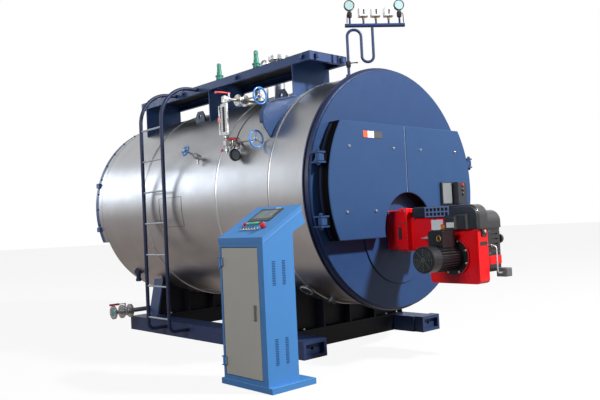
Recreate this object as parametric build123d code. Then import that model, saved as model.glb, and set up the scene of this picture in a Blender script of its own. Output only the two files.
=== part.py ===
from build123d import *
import math
import os

# Packaged fire-tube boiler on a skid, with its burner, walkway and control desk.
# X to the right facing the burner end, +Y from the burner end to the rear, Z up.
# The origin is on the floor, under the middle of the front cross member.
# OFFSET, START, END and BACK count from the face of the front plate, RISE and DROP from the axis
# of the shell, or of the burner in its group. CUT is how far a cut runs past a face.

# Shell
AXIS_HEIGHT = 1530
SHELL_RADIUS = 1140
CLADDING_WALL = 60
PLATE_FACE = -800
RIM_LENGTH = 75
CLADDING_LENGTH = 3840
BAND_HEIGHT = 5
BAND_WIDTH = 26
BAND_OFFSETS = (583, 1415, 2854)
SEAT = 0.3
CUT = 1

# Front plate and rim
PLATE_RADIUS = 1150
PLATE_THICKNESS = 20
RIM_RADIUS = 1182
RIM_LIP = 14

# Smoke box and doors
BOX_RADIUS = 1064
BOX_TOP = 590
BOX_BOTTOM = 464
BOX_DEPTH = 60
BOX_WALL = 14
DOOR_GAP = 5
DOOR_THICKNESS = 70
DOOR_SEAM = 10
DOOR_EDGE_ROUND = 6
ARCH_RADIUS = 354
HINGE_RADIUS = 12
HINGE_BORE_GAP = 0.3
HINGE_X = 1130
HINGE_OUT = 88
HINGE_DROP = 290
HINGE_RISE = 262
HINGE_HEIGHTS = (AXIS_HEIGHT - HINGE_DROP, AXIS_HEIGHT + HINGE_RISE)
HINGE_LUG = 60
HINGE_EAR = 16
HINGE_EAR_GAP = 5
HINGE_BOSS = 24
HINGE_ROOT = 42
HINGE_PIN_END = 8
PANEL_X = 520
PANEL_SIZE = 165
PANEL_STEP = 20
PANEL_DROP = 174
PANEL_RISE = 48
PANEL_HEIGHTS = (AXIS_HEIGHT - PANEL_DROP, AXIS_HEIGHT + PANEL_RISE)
PANEL_BOX = 152
PANEL_DEPTH = 90
PANEL_PLATE = 25

# Burner, with the heights of its fan and hood from its own axis
BURNER_DROP = 405
FURNACE_PLATE_RADIUS = 512
FURNACE_PLATE_THICKNESS = 12
FLANGE_SIZE = 400
FLANGE_DEPTH = 150
FLANGE_RIM = 14
FLANGE_RIM_DEPTH = 100
FLANGE_ROUND = 30
HEAD_WIDTH = 270
HEAD_HEIGHT = 306
HEAD_LENGTH = 640
HEAD_DROP = 42
HEAD_ROUND = 15
FAN_LEFT = 150
FAN_RIGHT = 0
FAN_START = 465
FAN_END = 975
FAN_BOTTOM = -480
FAN_TOP = -7
FAN_KNEE = 940
FAN_SLOPE = ((745, -95), (465, -180))
FAN_ROUND = 34
COVER_START = 290
COVER_END = 1000
COVER_TOP = 205
COVER_SHOULDER = 100
COVER_NOSE = 26
COVER_LEFT = 165
COVER_RIGHT = 190
COVER_STEP_X = -30
COVER_STEP = 55
COVER_SIDE_ROUND = 22
SKIRT_START = 680
BULGES = ((680, 800, 205, 120), (796, 905, 186, 136))
BULGE_ROUND = 24
SLOT_STARTS = (460, 500, 540, 580, 620, 660)
SLOT_SIZE = (28, 26)
SLOT_LEVELS = (134, 174)
SLOT_DEPTH = 12
MOTOR_RADIUS = 106
MOTOR_LENGTH = 300
MOTOR_FLANGE_RADIUS = 165
MOTOR_FLANGE_THICKNESS = 18
MOTOR_BACK = 722
MOTOR_DROP = 245
MOTOR_FIN = 7
MOTOR_FINS = 24
COWL_LENGTH = 120
TERMINAL_BOX = (178, 150, 142)
AIR_BOX_RIGHT = 200
AIR_BOX_START = 600
AIR_BOX_BOTTOM = -385
AIR_BOX_ROUND = 12
LOUVRE_COUNT = 5
LOUVRE_PITCH = 42
LOUVRE_SIZE = (110, 14, 9)
LOUVRE_TOP = -60
SERVO_BOX = (100, 90, 75)
SERVO_X = 155
SERVO_DROP = 397
SERVO_ROUND = 7
KNOB_RADIUS = 42
KNOB_STEM = 14
KNOB_LENGTH = 44
KNOB_DROP = 108
KNOB_BACK = 940
CONDUIT_RADIUS = 5.5
CONDUIT_BEND = 32
CONDUIT_X = 40
CONDUIT_OUT = 55
CONDUIT_DROP = 160
LEAD_X = 245
LEAD_BACK = 430
LEAD_DROP = 75
LEAD_BEND = 60

# Rear end
REAR_PLATE_THICKNESS = 20
REAR_BOX_RADIUS = 1142
REAR_BOX_BOTTOM = 430
REAR_BOX_LENGTH = 85
REAR_COVER_LENGTH = 94
REAR_COVER_ROUND = 12
REAR_LUG_DROP = 260
REAR_LUG_RISE = 312
REAR_LUG_HEIGHTS = (AXIS_HEIGHT - REAR_LUG_DROP, AXIS_HEIGHT + REAR_LUG_RISE)
REAR_LUG_HEIGHT = 60
REAR_LUG_REACH = 26

# Skid
BEAM_OUTER = 960
BEAM_WIDTH = 250
BEAM_HEIGHT = 165
BEAM_WALL = 14
BEAM_START = 330
BEAM_END = 3620
FOOT_OUTER = 1020
FOOT_INNER = 727
FOOT_LENGTH = 110
FOOT_RECESS = 45
FOOT_BORDER = 32
FOOT_HOLE = 16
CROSS_WIDTH = 160
SADDLE_OFFSETS = (800, 3260)
SADDLE_DROP = 910
SADDLE_TOP = AXIS_HEIGHT - SADDLE_DROP
SADDLE_BASE = 850
SADDLE_SHOULDER = 750
SADDLE_WEB = 20
SADDLE_WIDTH = 200
SADDLE_RIBS = (-380, 0, 380)

# Walkway
WALK_NEAR = 700
WALK_FAR = 190
WALK_START = 400
WALK_END = 3600
WALK_RISE = 1263
WALK_BOTTOM = AXIS_HEIGHT + WALK_RISE
CHANNEL_HEIGHT = 80
CHANNEL_FLANGE = 43
CHANNEL_WALL = 6
DECK_THICKNESS = 5
SUPPORT_OFFSETS = (660, 2080, 3480)
SUPPORT_PLATE = 12
WING_EDGE = ((700, 960), (1030, 875), (1115, 770), (1115, 670), (1010, 520))
WING_FLANGE = 60
WING_LIP = 8

# Ladder
LADDER_X = 1200
LADDER_OFFSETS = (2300, 2750)
LADDER_TUBE = 21
LADDER_BEND = 380
LADDER_FOOT_BEND = 70
LADDER_FOOT_HEIGHT = 105
RUNG_RADIUS = 10
RUNG_FIRST = 245
RUNG_SPACING = 355
RUNG_COUNT = 7

# Crown fittings
SAFETY_OFFSETS = (2060, 2820)
SAFETY_HEIGHT = 338
SAFETY_NECK = 34
SAFETY_STUB = 330
SAFETY_OUTLET = 88.4
STEAM_OFFSET = 1650
STEAM_RISE = 503
STEAM_NECK = 62
STEAM_FLANGE = 118
STEAM_GAP = 2
FLANGE_THICKNESS = 22
LUG_OFFSETS = (900, 2350)
LUG_X = 640
LUG_RISE = 120
LUG_HALF = 90
LUG_HOLE = 24
LUG_THICKNESS = 18

# Water level gauge and its cocks
GAUGE_X = 1206
GAUGE_OFFSET = 1100
GAUGE_HIGH_RISE = 952
GAUGE_LOW_RISE = 518
GAUGE_HIGH = AXIS_HEIGHT + GAUGE_HIGH_RISE
GAUGE_LOW = AXIS_HEIGHT + GAUGE_LOW_RISE
GAUGE_BODY_LIFT = 73
GAUGE_BODY_HEAD = 45
GAUGE_BODY = (GAUGE_LOW + GAUGE_BODY_LIFT, GAUGE_HIGH - GAUGE_BODY_HEAD)
GAUGE_BLOCK_HALF = 22.5
GAUGE_BODY_WIDTH = 58
GAUGE_BODY_DEPTH = 34
GAUGE_PIPE = 13
GAUGE_FLANGE = 44
GAUGE_VALVES = ((GAUGE_HIGH, 1000, 280), (GAUGE_LOW, 1122, 345))
VALVE_BODY = 30
VALVE_NECK = 23
VALVE_HALF = 46
VALVE_FLANGE = 10
VALVE_BONNET = 120
WHEEL_RADIUS = 88
WHEEL_RIM = 9
WHEEL_HUB = 18
WHEEL_HUB_LENGTH = 24
STEM_RADIUS = 9
STEM_NUT = 15
STEM_NUT_LENGTH = 9
WHEEL_GAP = 0.3
WHEEL_SPOKES = 3
SIDE_VALVE_OFFSET = 1750
SIDE_VALVE_RISE = 430
SIDE_VALVE_HEIGHT = AXIS_HEIGHT + SIDE_VALVE_RISE
SIDE_VALVE_SPOUT = 75
SIDE_VALVE_STEM = 205
SIDE_WHEEL_RADIUS = 60
DIAL_OFFSET = 1126
DIAL_RISE = 406
DIAL_HEIGHT = AXIS_HEIGHT + DIAL_RISE
DIAL_RADIUS = 42
DIAL_STEM = 40
DIAL_DEPTH = 26
SHELL_SINK = 40

# Pressure pipe and instrument manifold
SIPHON_X = 327
SIPHON_OFFSET = 250
SIPHON_RADIUS = 14
SIPHON_DROP = 43
SIPHON_LOOP = 316
SIPHON_RUNS = (0, 138, 254)
SIPHON_BENDS = (67, 67, 56, 56)
SIPHON_FOOT = 30
MANIFOLD_RISE = 465
MANIFOLD_START = -15
MANIFOLD_END = 580
MANIFOLD_RADIUS = 19
MANIFOLD_TURN = 36
SWITCH_RUNS = (170, 295, 422)
SWITCH_SIZE = (66, 56, 78)
GAUGE_RUNS = (34, 531)
RISER_RADIUS = 10
RISER_LENGTH = 85
COCK_RADIUS = 18
COCK_HEIGHT = 60
PRESSURE_DIAL_RADIUS = 52

# Lower fittings
BLOWDOWN_OFFSET = 3395
BLOWDOWN_HEIGHT = 262
BLOWDOWN_END = 1315
BLOWDOWN_RISER_X = 634
BLOWDOWN_VALVE_X = 1150
BLOWDOWN_VALVE = 55
BLOWDOWN_LEVER = 190
BLOWDOWN_PIPE = 27
BLOWDOWN_FLANGE = 80
HANDHOLE_OFFSET = 590
HANDHOLE_ANGLE = 37
HANDHOLE_RADIUS = 62
HANDHOLE_NECK = 43.4
DRAIN_OFFSET = 470
DRAIN_ANGLE = 25
DRAIN_RADIUS = 42
DRAIN_NECK = 29.4

# Control desk
DESK_FACE = 1979
DESK_DEPTH_LOW = 303
DESK_DEPTH_TOP = 409
DESK_FRONT = -330
DESK_WIDTH = 545
DESK_FRONT_HEIGHT = 1149
DESK_BACK_HEIGHT = 1384
DESK_NECK_HEIGHT = 1172
DESK_LIP = 68
DESK_BULGE = 440
DESK_BULGE_HEIGHT = 1241
DESK_WALL = 20
DESK_LID = 34
DESK_LID_OVER = 4
DESK_LID_EDGE = 3
PLINTH_HEIGHT = 45
PLINTH_OVER = 40
PLINTH_DEPTH = 440
DESK_DOOR_START = -263
DESK_DOOR_END = 186
DESK_DOOR_THICKNESS = 18
DESK_DOOR_BOTTOM = 86
DESK_DOOR_TOP = 1070
DESK_DOOR_GAP = 5
DESK_PIN = 5
DESK_PIN_GAP = 0.3
DESK_BARREL = 10
DESK_BARREL_LENGTH = 60
DESK_PIN_HEIGHTS = (190, 960)
DESK_EAR = 6
DESK_LEAF = 24
DESK_DOOR_EDGE = 2
HANDLE_OFFSET = -213
HANDLE_HEIGHTS = (530, 642)
HANDLE_WIDTH = 28
HANDLE_DEPTH = 30
SCREEN_RUN = 325
SCREEN_SIZE = (180, 270, 10)
SCREEN_CROSS = 12
BUTTON_RUNS = (117, 193)
BUTTON_COUNT = 6
BUTTON_SPACING = 34
BUTTON_RADIUS = 9
BUTTON_HEIGHT = 12
BUTTON_COLLAR = 3
STOP_RUN = 138
STOP_CROSS = -150
STOP_RADIUS = 19
STOP_HEIGHT = 24


def along(offset):
    """A Y position, from its distance behind the face of the front plate."""
    return PLATE_FACE + offset


def block(x, y, z):
    """A box between two values on each axis."""
    size = [high - low for low, high in (x, y, z)]
    middle = [(high + low) / 2 for low, high in (x, y, z)]
    return Pos(*middle) * Box(*size)


def cross_section(sketch, y_front, y_rear):
    """A sketch drawn in X and Z, carried along the boiler from y_front to y_rear."""
    plane = Plane(origin=(0, y_rear, 0), x_dir=(1, 0, 0), z_dir=(0, -1, 0))
    return extrude(plane * sketch, y_rear - y_front)


def side_section(sketch, x_low, x_high):
    """A sketch drawn in Y and Z, carried across the boiler from x_low to x_high."""
    plane = Plane(origin=(x_low, 0, 0), x_dir=(0, 1, 0), z_dir=(1, 0, 0))
    return extrude(plane * sketch, x_high - x_low)


def outline(points):
    """A closed face from its corners."""
    return make_face(Polyline(*points, close=True))


def rod(start, end, radius):
    """A round bar between two points."""
    direction = Vector(*end) - Vector(*start)
    plane = Plane(origin=start, z_dir=direction)
    return extrude(plane * Circle(radius), direction.length)


def turned(profile, origin, direction):
    """A (radius, height) profile turned about an axis through the origin point."""
    face = make_face(Plane.XZ * Polyline(*profile, close=True))
    return Plane(origin=origin, z_dir=direction).location * revolve(face, Axis.Z)


def tube_along(path, radius):
    """A round bar that follows a path."""
    return sweep(Plane(origin=path @ 0, z_dir=path % 0) * Circle(radius), path)


def group(shapes):
    """Like pieces that share one sub-part."""
    return Compound(children=list(shapes))


def save(name, shape):
    """Writes one sub-part."""
    export_step(shape, f"parts/{name}.step")


def round_shell(profile):
    """A (radius, offset) profile turned about the axis of the shell."""
    return turned(profile, (0, PLATE_FACE, AXIS_HEIGHT), (0, 1, 0))


def clad_round(inner, grow=0):
    """The clad shell from an inner radius outward, with a raised band over each seam."""
    outer = SHELL_RADIUS + grow
    profile = [(inner, RIM_LENGTH), (outer, RIM_LENGTH)]
    for middle in BAND_OFFSETS:
        profile.append((outer, middle - BAND_WIDTH / 2 - grow))
        profile.append((outer + BAND_HEIGHT, middle - BAND_WIDTH / 4 - grow))
        profile.append((outer + BAND_HEIGHT, middle + BAND_WIDTH / 4 + grow))
        profile.append((outer, middle + BAND_WIDTH / 2 + grow))
    end = RIM_LENGTH + CLADDING_LENGTH
    return round_shell(profile + [(outer, end), (inner, end)])


def cladding():
    """The clad shell: an insulated tube under sheet."""
    return clad_round(SHELL_RADIUS - CLADDING_WALL)


def front_rim():
    """The stepped ring between the front plate and the cladding."""
    inner = SHELL_RADIUS - CLADDING_WALL
    face = PLATE_THICKNESS
    groove = RIM_LENGTH - 2 * RIM_LIP
    profile = [
        (inner, face),
        (PLATE_RADIUS + RIM_LIP, face),
        (RIM_RADIUS - RIM_LIP / 2, groove),
        (RIM_RADIUS - RIM_LIP, groove + RIM_LIP / 4),
        (RIM_RADIUS - RIM_LIP, groove + RIM_LIP),
        (RIM_RADIUS, groove + RIM_LIP),
        (RIM_RADIUS, RIM_LENGTH),
        (inner, RIM_LENGTH),
    ]
    return round_shell(profile)


def front_plate():
    """The round front tube plate."""
    plate = round_shell([(0, 0), (PLATE_RADIUS, 0), (PLATE_RADIUS, PLATE_THICKNESS), (0, PLATE_THICKNESS)])
    edge = plate.edges().filter_by(GeomType.CIRCLE).sort_by(Axis.Y)[0]
    return chamfer(edge, PLATE_THICKNESS / 4)


BURNER_HEIGHT = AXIS_HEIGHT - BURNER_DROP


def box_outline(inset=0):
    """The smoke box seen from the front: a disc cut level, arched over the burner."""
    height = BOX_TOP + BOX_BOTTOM - 2 * inset
    middle = (BOX_TOP - BOX_BOTTOM) / 2
    disc = Circle(BOX_RADIUS - inset) & Pos(0, middle) * Rectangle(2 * BOX_RADIUS, height)
    arch = Pos(0, BURNER_HEIGHT - AXIS_HEIGHT) * Circle(ARCH_RADIUS + inset)
    return Pos(0, AXIS_HEIGHT) * (disc - arch)


def smoke_box_frame():
    """The fixed wall that the two doors close on."""
    wall = box_outline() - box_outline(BOX_WALL)
    return cross_section(wall, PLATE_FACE - BOX_DEPTH, PLATE_FACE)


DOOR_BACK = PLATE_FACE - BOX_DEPTH - DOOR_GAP
DOOR_FACE = DOOR_BACK - DOOR_THICKNESS
HINGE_Y = PLATE_FACE - HINGE_OUT


def smoke_door(side):
    """One leaf of the double door, on the side -1 or 1."""
    half = Pos(side * (BOX_RADIUS + DOOR_SEAM / 2), AXIS_HEIGHT) * Rectangle(2 * BOX_RADIUS, 2 * BOX_RADIUS)
    leaf = cross_section(box_outline() & half, DOOR_FACE, DOOR_BACK)
    leaf = chamfer(leaf.edges().group_by(Axis.Y)[0], DOOR_EDGE_ROUND)
    for height in HINGE_HEIGHTS:
        leaf = leaf + hinge_lug(side, height)
    return leaf


def hinge_lug(side, height):
    """The arm on the edge of the leaf that turns on the hinge pin."""
    reach = math.sqrt(BOX_RADIUS ** 2 - (abs(height - AXIS_HEIGHT) + HINGE_LUG / 2) ** 2)
    low = height - HINGE_LUG / 2
    arm_x = sorted((side * (reach - HINGE_EAR), side * HINGE_X))
    arm = block(arm_x, (HINGE_Y - HINGE_EAR, HINGE_Y + HINGE_EAR), (low, low + HINGE_LUG))
    knuckle = rod((side * HINGE_X, HINGE_Y, low), (side * HINGE_X, HINGE_Y, low + HINGE_LUG), HINGE_BOSS)
    pin_hole = rod((side * HINGE_X, HINGE_Y, low - CUT), (side * HINGE_X, HINGE_Y, low + HINGE_LUG + CUT),
                   HINGE_RADIUS + HINGE_BORE_GAP)
    return arm + knuckle - pin_hole


def hinge_bracket(side, height):
    """Two ears on the front plate with the pin between them."""
    plate_reach = math.sqrt(PLATE_RADIUS ** 2 - (abs(height - AXIS_HEIGHT) + HINGE_LUG) ** 2)
    inner = plate_reach - HINGE_ROOT
    half = HINGE_LUG / 2 + HINGE_EAR_GAP
    ears = []
    for low in (height - half - HINGE_EAR, height + half):
        ear_x = sorted((side * inner, side * (HINGE_X + HINGE_BOSS)))
        ear = block(ear_x, (HINGE_Y - HINGE_BOSS, PLATE_FACE), (low, low + HINGE_EAR))
        rim = block(sorted((side * plate_reach, side * (HINGE_X + 2 * HINGE_BOSS))),
                    (PLATE_FACE - HINGE_EAR, PLATE_FACE + CUT), (low - CUT, low + HINGE_EAR + CUT))
        ears.append(ear - rim)
    pin_half = half + HINGE_EAR + HINGE_PIN_END
    pin = rod((side * HINGE_X, HINGE_Y, height - pin_half), (side * HINGE_X, HINGE_Y, height + pin_half),
              HINGE_RADIUS)
    return ears[0] + ears[1] + pin


def furnace_plate():
    """The round plate that carries the burner, cut to clear the smoke box."""
    disc = Pos(0, BURNER_HEIGHT) * Circle(FURNACE_PLATE_RADIUS)
    middle = AXIS_HEIGHT + (BOX_TOP - BOX_BOTTOM) / 2
    box = Pos(0, middle) * Rectangle(2 * BOX_RADIUS, BOX_TOP + BOX_BOTTOM)
    arch = Pos(0, BURNER_HEIGHT) * Circle(ARCH_RADIUS - SEAT)
    shape = (disc - box) + arch
    return cross_section(shape, PLATE_FACE - FURNACE_PLATE_THICKNESS, PLATE_FACE)


FLANGE_BACK = PLATE_FACE - FURNACE_PLATE_THICKNESS
FLANGE_FACE = FLANGE_BACK - FLANGE_DEPTH - FLANGE_RIM_DEPTH
HEAD_FACE = FLANGE_FACE - HEAD_LENGTH
HEAD_MIDDLE = BURNER_HEIGHT - HEAD_DROP
HEAD_TOP = HEAD_MIDDLE + HEAD_HEIGHT / 2
FAN_FACE = PLATE_FACE - FAN_END
FAN_CEILING = BURNER_HEIGHT + FAN_TOP
MOTOR_Y = PLATE_FACE - MOTOR_BACK
MOTOR_HEIGHT = BURNER_HEIGHT - MOTOR_DROP


def burner_flange():
    """The deep housing that bolts the burner to the furnace plate, with its wider front rim."""
    size = FLANGE_SIZE - 2 * FLANGE_RIM
    square = Pos(0, BURNER_HEIGHT) * RectangleRounded(size, size, FLANGE_ROUND)
    body = cross_section(square, FLANGE_BACK - FLANGE_DEPTH, FLANGE_BACK)
    wide = Pos(0, BURNER_HEIGHT) * RectangleRounded(FLANGE_SIZE, FLANGE_SIZE, FLANGE_ROUND)
    rim = cross_section(wide, FLANGE_FACE, FLANGE_BACK - FLANGE_DEPTH)
    rim = chamfer(rim.faces().sort_by(Axis.Y)[0].edges(), FLANGE_RIM / 2)
    return body + rim


def head_block(low_y, high_y):
    """The space that the neck fills between two places along the burner."""
    section = Pos(0, HEAD_MIDDLE) * RectangleRounded(HEAD_WIDTH, HEAD_HEIGHT, HEAD_ROUND)
    return cross_section(section, low_y, high_y)


def burner_head():
    """The neck between the mounting housing and the fan."""
    return head_block(HEAD_FACE, FLANGE_FACE)


def fan_casing():
    """The scroll housing: sloping top, rounded lower corners, and a wall beside the neck."""
    low = BURNER_HEIGHT + FAN_BOTTOM
    front = PLATE_FACE - FAN_START
    slope = [(PLATE_FACE - offset, FAN_CEILING + rise) for offset, rise in FAN_SLOPE]
    knee = (PLATE_FACE - FAN_KNEE, FAN_CEILING)
    profile = outline([(FAN_FACE, FAN_CEILING), (FAN_FACE, low), (front, low)] + slope[::-1] + [knee])
    lower = [v for v in profile.vertices() if abs(v.Y - low) < SEAT]
    profile = fillet(lower, FAN_ROUND)
    body = side_section(profile, -FAN_LEFT, FAN_RIGHT)
    return body - head_block(HEAD_FACE, FLANGE_FACE)


def control_box():
    """The socket plate and the small push-button box on the right door."""
    plate = block((PANEL_X, PANEL_X + PANEL_SIZE), (DOOR_FACE - PANEL_PLATE, DOOR_FACE), PANEL_HEIGHTS)
    start = PANEL_X + PANEL_SIZE + PANEL_STEP
    box = block((start, start + PANEL_BOX), (DOOR_FACE - PANEL_DEPTH, DOOR_FACE), PANEL_HEIGHTS)
    box = chamfer(box.faces().sort_by(Axis.Y)[0].edges(), DOOR_EDGE_ROUND)
    return Compound(children=[plate, box])


def cover_side(top):
    """The hood seen from the side: level top, round nose and shoulder, skirt over the fan."""
    floor = FAN_CEILING
    points = [(COVER_START, HEAD_TOP), (COVER_START, top), (COVER_END, top), (COVER_END, floor),
              (SKIRT_START, floor), (SKIRT_START, HEAD_TOP)]
    profile = outline([(PLATE_FACE - offset, height) for offset, height in points])
    shoulder = profile.vertices().group_by(Axis.Y)[-1].sort_by(Axis.X)[0]
    profile = fillet(shoulder, COVER_SHOULDER)
    nose = profile.vertices().group_by(Axis.Y)[-1].sort_by(Axis.X)[-1]
    return fillet(nose, COVER_NOSE)


def burner_cover():
    """The moulded hood: a high and a low bay with round shoulders, terraced bulges and slots."""
    high = BURNER_HEIGHT + COVER_TOP
    low = high - COVER_STEP
    step = COVER_STEP_X
    tall = side_section(cover_side(high), -COVER_LEFT, step)
    shallow = side_section(cover_side(low), step, COVER_RIGHT)
    tall = fillet(top_edge(tall, high, -COVER_LEFT), COVER_SIDE_ROUND)
    shallow = fillet(top_edge(shallow, low, COVER_RIGHT), COVER_SIDE_ROUND)
    hood = tall + shallow
    for start, end, reach, rise in BULGES:
        bay = block((-reach, step), (PLATE_FACE - end, PLATE_FACE - start), (FAN_CEILING, BURNER_HEIGHT + rise))
        outer = bay.edges().filter_by(lambda e: e.center().X < step)
        corner = [e for e in outer.filter_by(Axis.Z) if e.center().Y < PLATE_FACE - start]
        ridge = [e for e in outer.filter_by(Axis.Y) if e.center().Z > HEAD_TOP - SEAT]
        hood = hood + fillet(corner + ridge, BULGE_ROUND)
    length, height = SLOT_SIZE
    for level in SLOT_LEVELS:
        for start in SLOT_STARTS:
            y = PLATE_FACE - start
            hood = hood - block((-COVER_LEFT - CUT, -COVER_LEFT + SLOT_DEPTH), (y - length, y),
                                (BURNER_HEIGHT + level - height / 2, BURNER_HEIGHT + level + height / 2))
    return hood - head_block(HEAD_FACE, FLANGE_FACE)


def top_edge(body, height, x):
    """The straight upper edge of a body on one side; the fillet runs on along its arcs."""
    return [e for e in body.edges() if abs(e.center().X - x) < SEAT and e.center().Z > height - SEAT]


def burner_rear_box():
    """The air inlet housing beside the fan, with its louvres and hand knob."""
    end = FAN_FACE
    low = BURNER_HEIGHT + AIR_BOX_BOTTOM
    box = block((FAN_RIGHT, AIR_BOX_RIGHT), (end, PLATE_FACE - AIR_BOX_START), (low, FAN_CEILING))
    corners = [e for e in box.edges().filter_by(Axis.Z) if e.center().X > FAN_RIGHT]
    box = fillet(corners, AIR_BOX_ROUND) - head_block(HEAD_FACE, FLANGE_FACE)
    width, depth, height = LOUVRE_SIZE
    middle = (FAN_RIGHT + AIR_BOX_RIGHT) / 2
    for index in range(LOUVRE_COUNT):
        z = FAN_CEILING + LOUVRE_TOP - index * LOUVRE_PITCH
        box = box - block((middle - width / 2, middle + width / 2), (end, end + depth), (z, z + height))
    height = BURNER_HEIGHT - KNOB_DROP
    knob = turned([(0, 0), (KNOB_STEM, 0), (KNOB_STEM, KNOB_LENGTH / 3), (KNOB_RADIUS, KNOB_LENGTH / 2),
                   (KNOB_RADIUS, KNOB_LENGTH), (0, KNOB_LENGTH)],
                  (AIR_BOX_RIGHT, PLATE_FACE - KNOB_BACK, height), (1, 0, 0))
    return box + knob


def bent_lead(points, bend):
    """A metal conduit that follows straight runs joined by round bends."""
    return tube_along(FilletPolyline(*points, radius=bend), CONDUIT_RADIUS)


def servo_box():
    """The damper actuator with its conduit, and the conduit to the motor."""
    length, width, height = SERVO_BOX
    middle = BURNER_HEIGHT - SERVO_DROP
    box = block((SERVO_X - width / 2, SERVO_X + width / 2), (FAN_FACE - length, FAN_FACE),
                (middle - height / 2, middle + height / 2))
    box = chamfer(box.faces().sort_by(Axis.Y)[0].edges(), SERVO_ROUND)
    out = FAN_FACE - CONDUIT_OUT
    top = BURNER_HEIGHT - CONDUIT_DROP
    damper_lead = bent_lead([(CONDUIT_X, FAN_FACE, top), (CONDUIT_X, out, top), (CONDUIT_X, out, middle),
                             (SERVO_X - width / 2, out, middle)], CONDUIT_BEND)
    level = BURNER_HEIGHT - LEAD_DROP
    y = PLATE_FACE - LEAD_BACK
    motor_lead = bent_lead([(-HEAD_WIDTH / 2, y, level), (-LEAD_X, y, level),
                            (-LEAD_X, MOTOR_Y + TERMINAL_BOX[1] / 2, level)], LEAD_BEND)
    return group([box + damper_lead, motor_lead])


def burner_motor():
    """The fan motor lying crossways: flange, ribbed body, smooth cowl and terminal box."""
    y = MOTOR_Y
    start = -FAN_LEFT
    flange_end = start - MOTOR_FLANGE_THICKNESS
    body_end = flange_end - MOTOR_LENGTH
    section = Circle(MOTOR_RADIUS - MOTOR_FIN)
    for index in range(MOTOR_FINS):
        section = section + Rot(0, 0, 180 / MOTOR_FINS * index) * Rectangle(2 * MOTOR_RADIUS, MOTOR_FIN)
    section = section & Circle(MOTOR_RADIUS)
    plane = Plane(origin=(flange_end, y, MOTOR_HEIGHT), x_dir=(0, 1, 0), z_dir=(-1, 0, 0))
    body = extrude(plane * section, MOTOR_LENGTH)
    flange = turned([(0, 0), (MOTOR_FLANGE_RADIUS, 0), (MOTOR_FLANGE_RADIUS, MOTOR_FLANGE_THICKNESS),
                     (0, MOTOR_FLANGE_THICKNESS)], (start, y, MOTOR_HEIGHT), (-1, 0, 0))
    cowl = turned([(0, 0), (MOTOR_RADIUS + MOTOR_FIN, 0), (MOTOR_RADIUS + MOTOR_FIN, COWL_LENGTH - MOTOR_FIN),
                   (MOTOR_RADIUS, COWL_LENGTH), (0, COWL_LENGTH)], (body_end, y, MOTOR_HEIGHT), (-1, 0, 0))
    length, width, height = TERMINAL_BOX
    middle = flange_end - MOTOR_LENGTH / 2
    low = MOTOR_HEIGHT + MOTOR_RADIUS - 2 * MOTOR_FIN
    box = block((middle - length / 2, middle + length / 2), (y - width / 2, y + width / 2), (low, low + height))
    box = chamfer(box.faces().sort_by(Axis.Z)[-1].edges(), MOTOR_FIN)
    return body + flange + cowl + box


REAR_FACE = along(RIM_LENGTH + CLADDING_LENGTH)


def rear_outline(inset=0):
    """The rear smoke box seen from behind: a disc cut level below."""
    height = REAR_BOX_RADIUS + REAR_BOX_BOTTOM
    middle = (REAR_BOX_RADIUS - REAR_BOX_BOTTOM) / 2
    disc = Circle(REAR_BOX_RADIUS - inset)
    return Pos(0, AXIS_HEIGHT) * (disc & Pos(0, middle + inset) * Rectangle(2 * REAR_BOX_RADIUS, height))


def rear_plate():
    """The round rear tube plate."""
    start = RIM_LENGTH + CLADDING_LENGTH
    return round_shell([(0, start), (SHELL_RADIUS, start), (SHELL_RADIUS, start + REAR_PLATE_THICKNESS),
                        (0, start + REAR_PLATE_THICKNESS)])


def rear_smoke_box():
    """The clad wall round the rear smoke box."""
    start = REAR_FACE + REAR_PLATE_THICKNESS
    return cross_section(rear_outline() - rear_outline(CLADDING_WALL), start, start + REAR_BOX_LENGTH)


def rear_cover():
    """The bolted cover of the rear smoke box, with its side lugs."""
    start = REAR_FACE + REAR_PLATE_THICKNESS + REAR_BOX_LENGTH
    cover = cross_section(rear_outline(), start, start + REAR_COVER_LENGTH)
    cover = chamfer(cover.edges().group_by(Axis.Y)[-1], REAR_COVER_ROUND)
    for side in (-1, 1):
        for height in REAR_LUG_HEIGHTS:
            reach = math.sqrt(REAR_BOX_RADIUS ** 2 - (height - AXIS_HEIGHT) ** 2)
            x = sorted((side * (reach - REAR_LUG_HEIGHT), side * (reach + REAR_LUG_REACH)))
            lug = block(x, (start + REAR_COVER_ROUND, start + REAR_COVER_LENGTH - REAR_COVER_ROUND),
                        (height - REAR_LUG_HEIGHT / 2, height + REAR_LUG_HEIGHT / 2))
            cover = cover + lug
    return cover


def skid_beam(side):
    """One hollow beam of the skid, closed at the front by a foot with a recessed face."""
    inner = BEAM_OUTER - BEAM_WIDTH
    start = along(BEAM_START + FOOT_LENGTH)
    x = sorted((side * inner, side * BEAM_OUTER))
    beam = block(x, (start, along(BEAM_END)), (0, BEAM_HEIGHT))
    hollow = block((x[0] + BEAM_WALL, x[1] - BEAM_WALL), (start, along(BEAM_END) + CUT),
                   (BEAM_WALL, BEAM_HEIGHT - BEAM_WALL))
    foot_x = sorted((side * FOOT_INNER, side * FOOT_OUTER))
    foot = block(foot_x, (along(BEAM_START), start), (0, BEAM_HEIGHT))
    recess = block((foot_x[0] + FOOT_BORDER, foot_x[1] - FOOT_BORDER),
                   (along(BEAM_START) - CUT, along(BEAM_START) + FOOT_RECESS),
                   (FOOT_BORDER, BEAM_HEIGHT - FOOT_BORDER))
    middle = side * (FOOT_INNER + FOOT_OUTER) / 2
    hole = rod((middle, along(BEAM_START), BEAM_HEIGHT / 2), (middle, start + CUT, BEAM_HEIGHT / 2), FOOT_HOLE)
    return (beam - hollow) + foot - recess - hole


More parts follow.
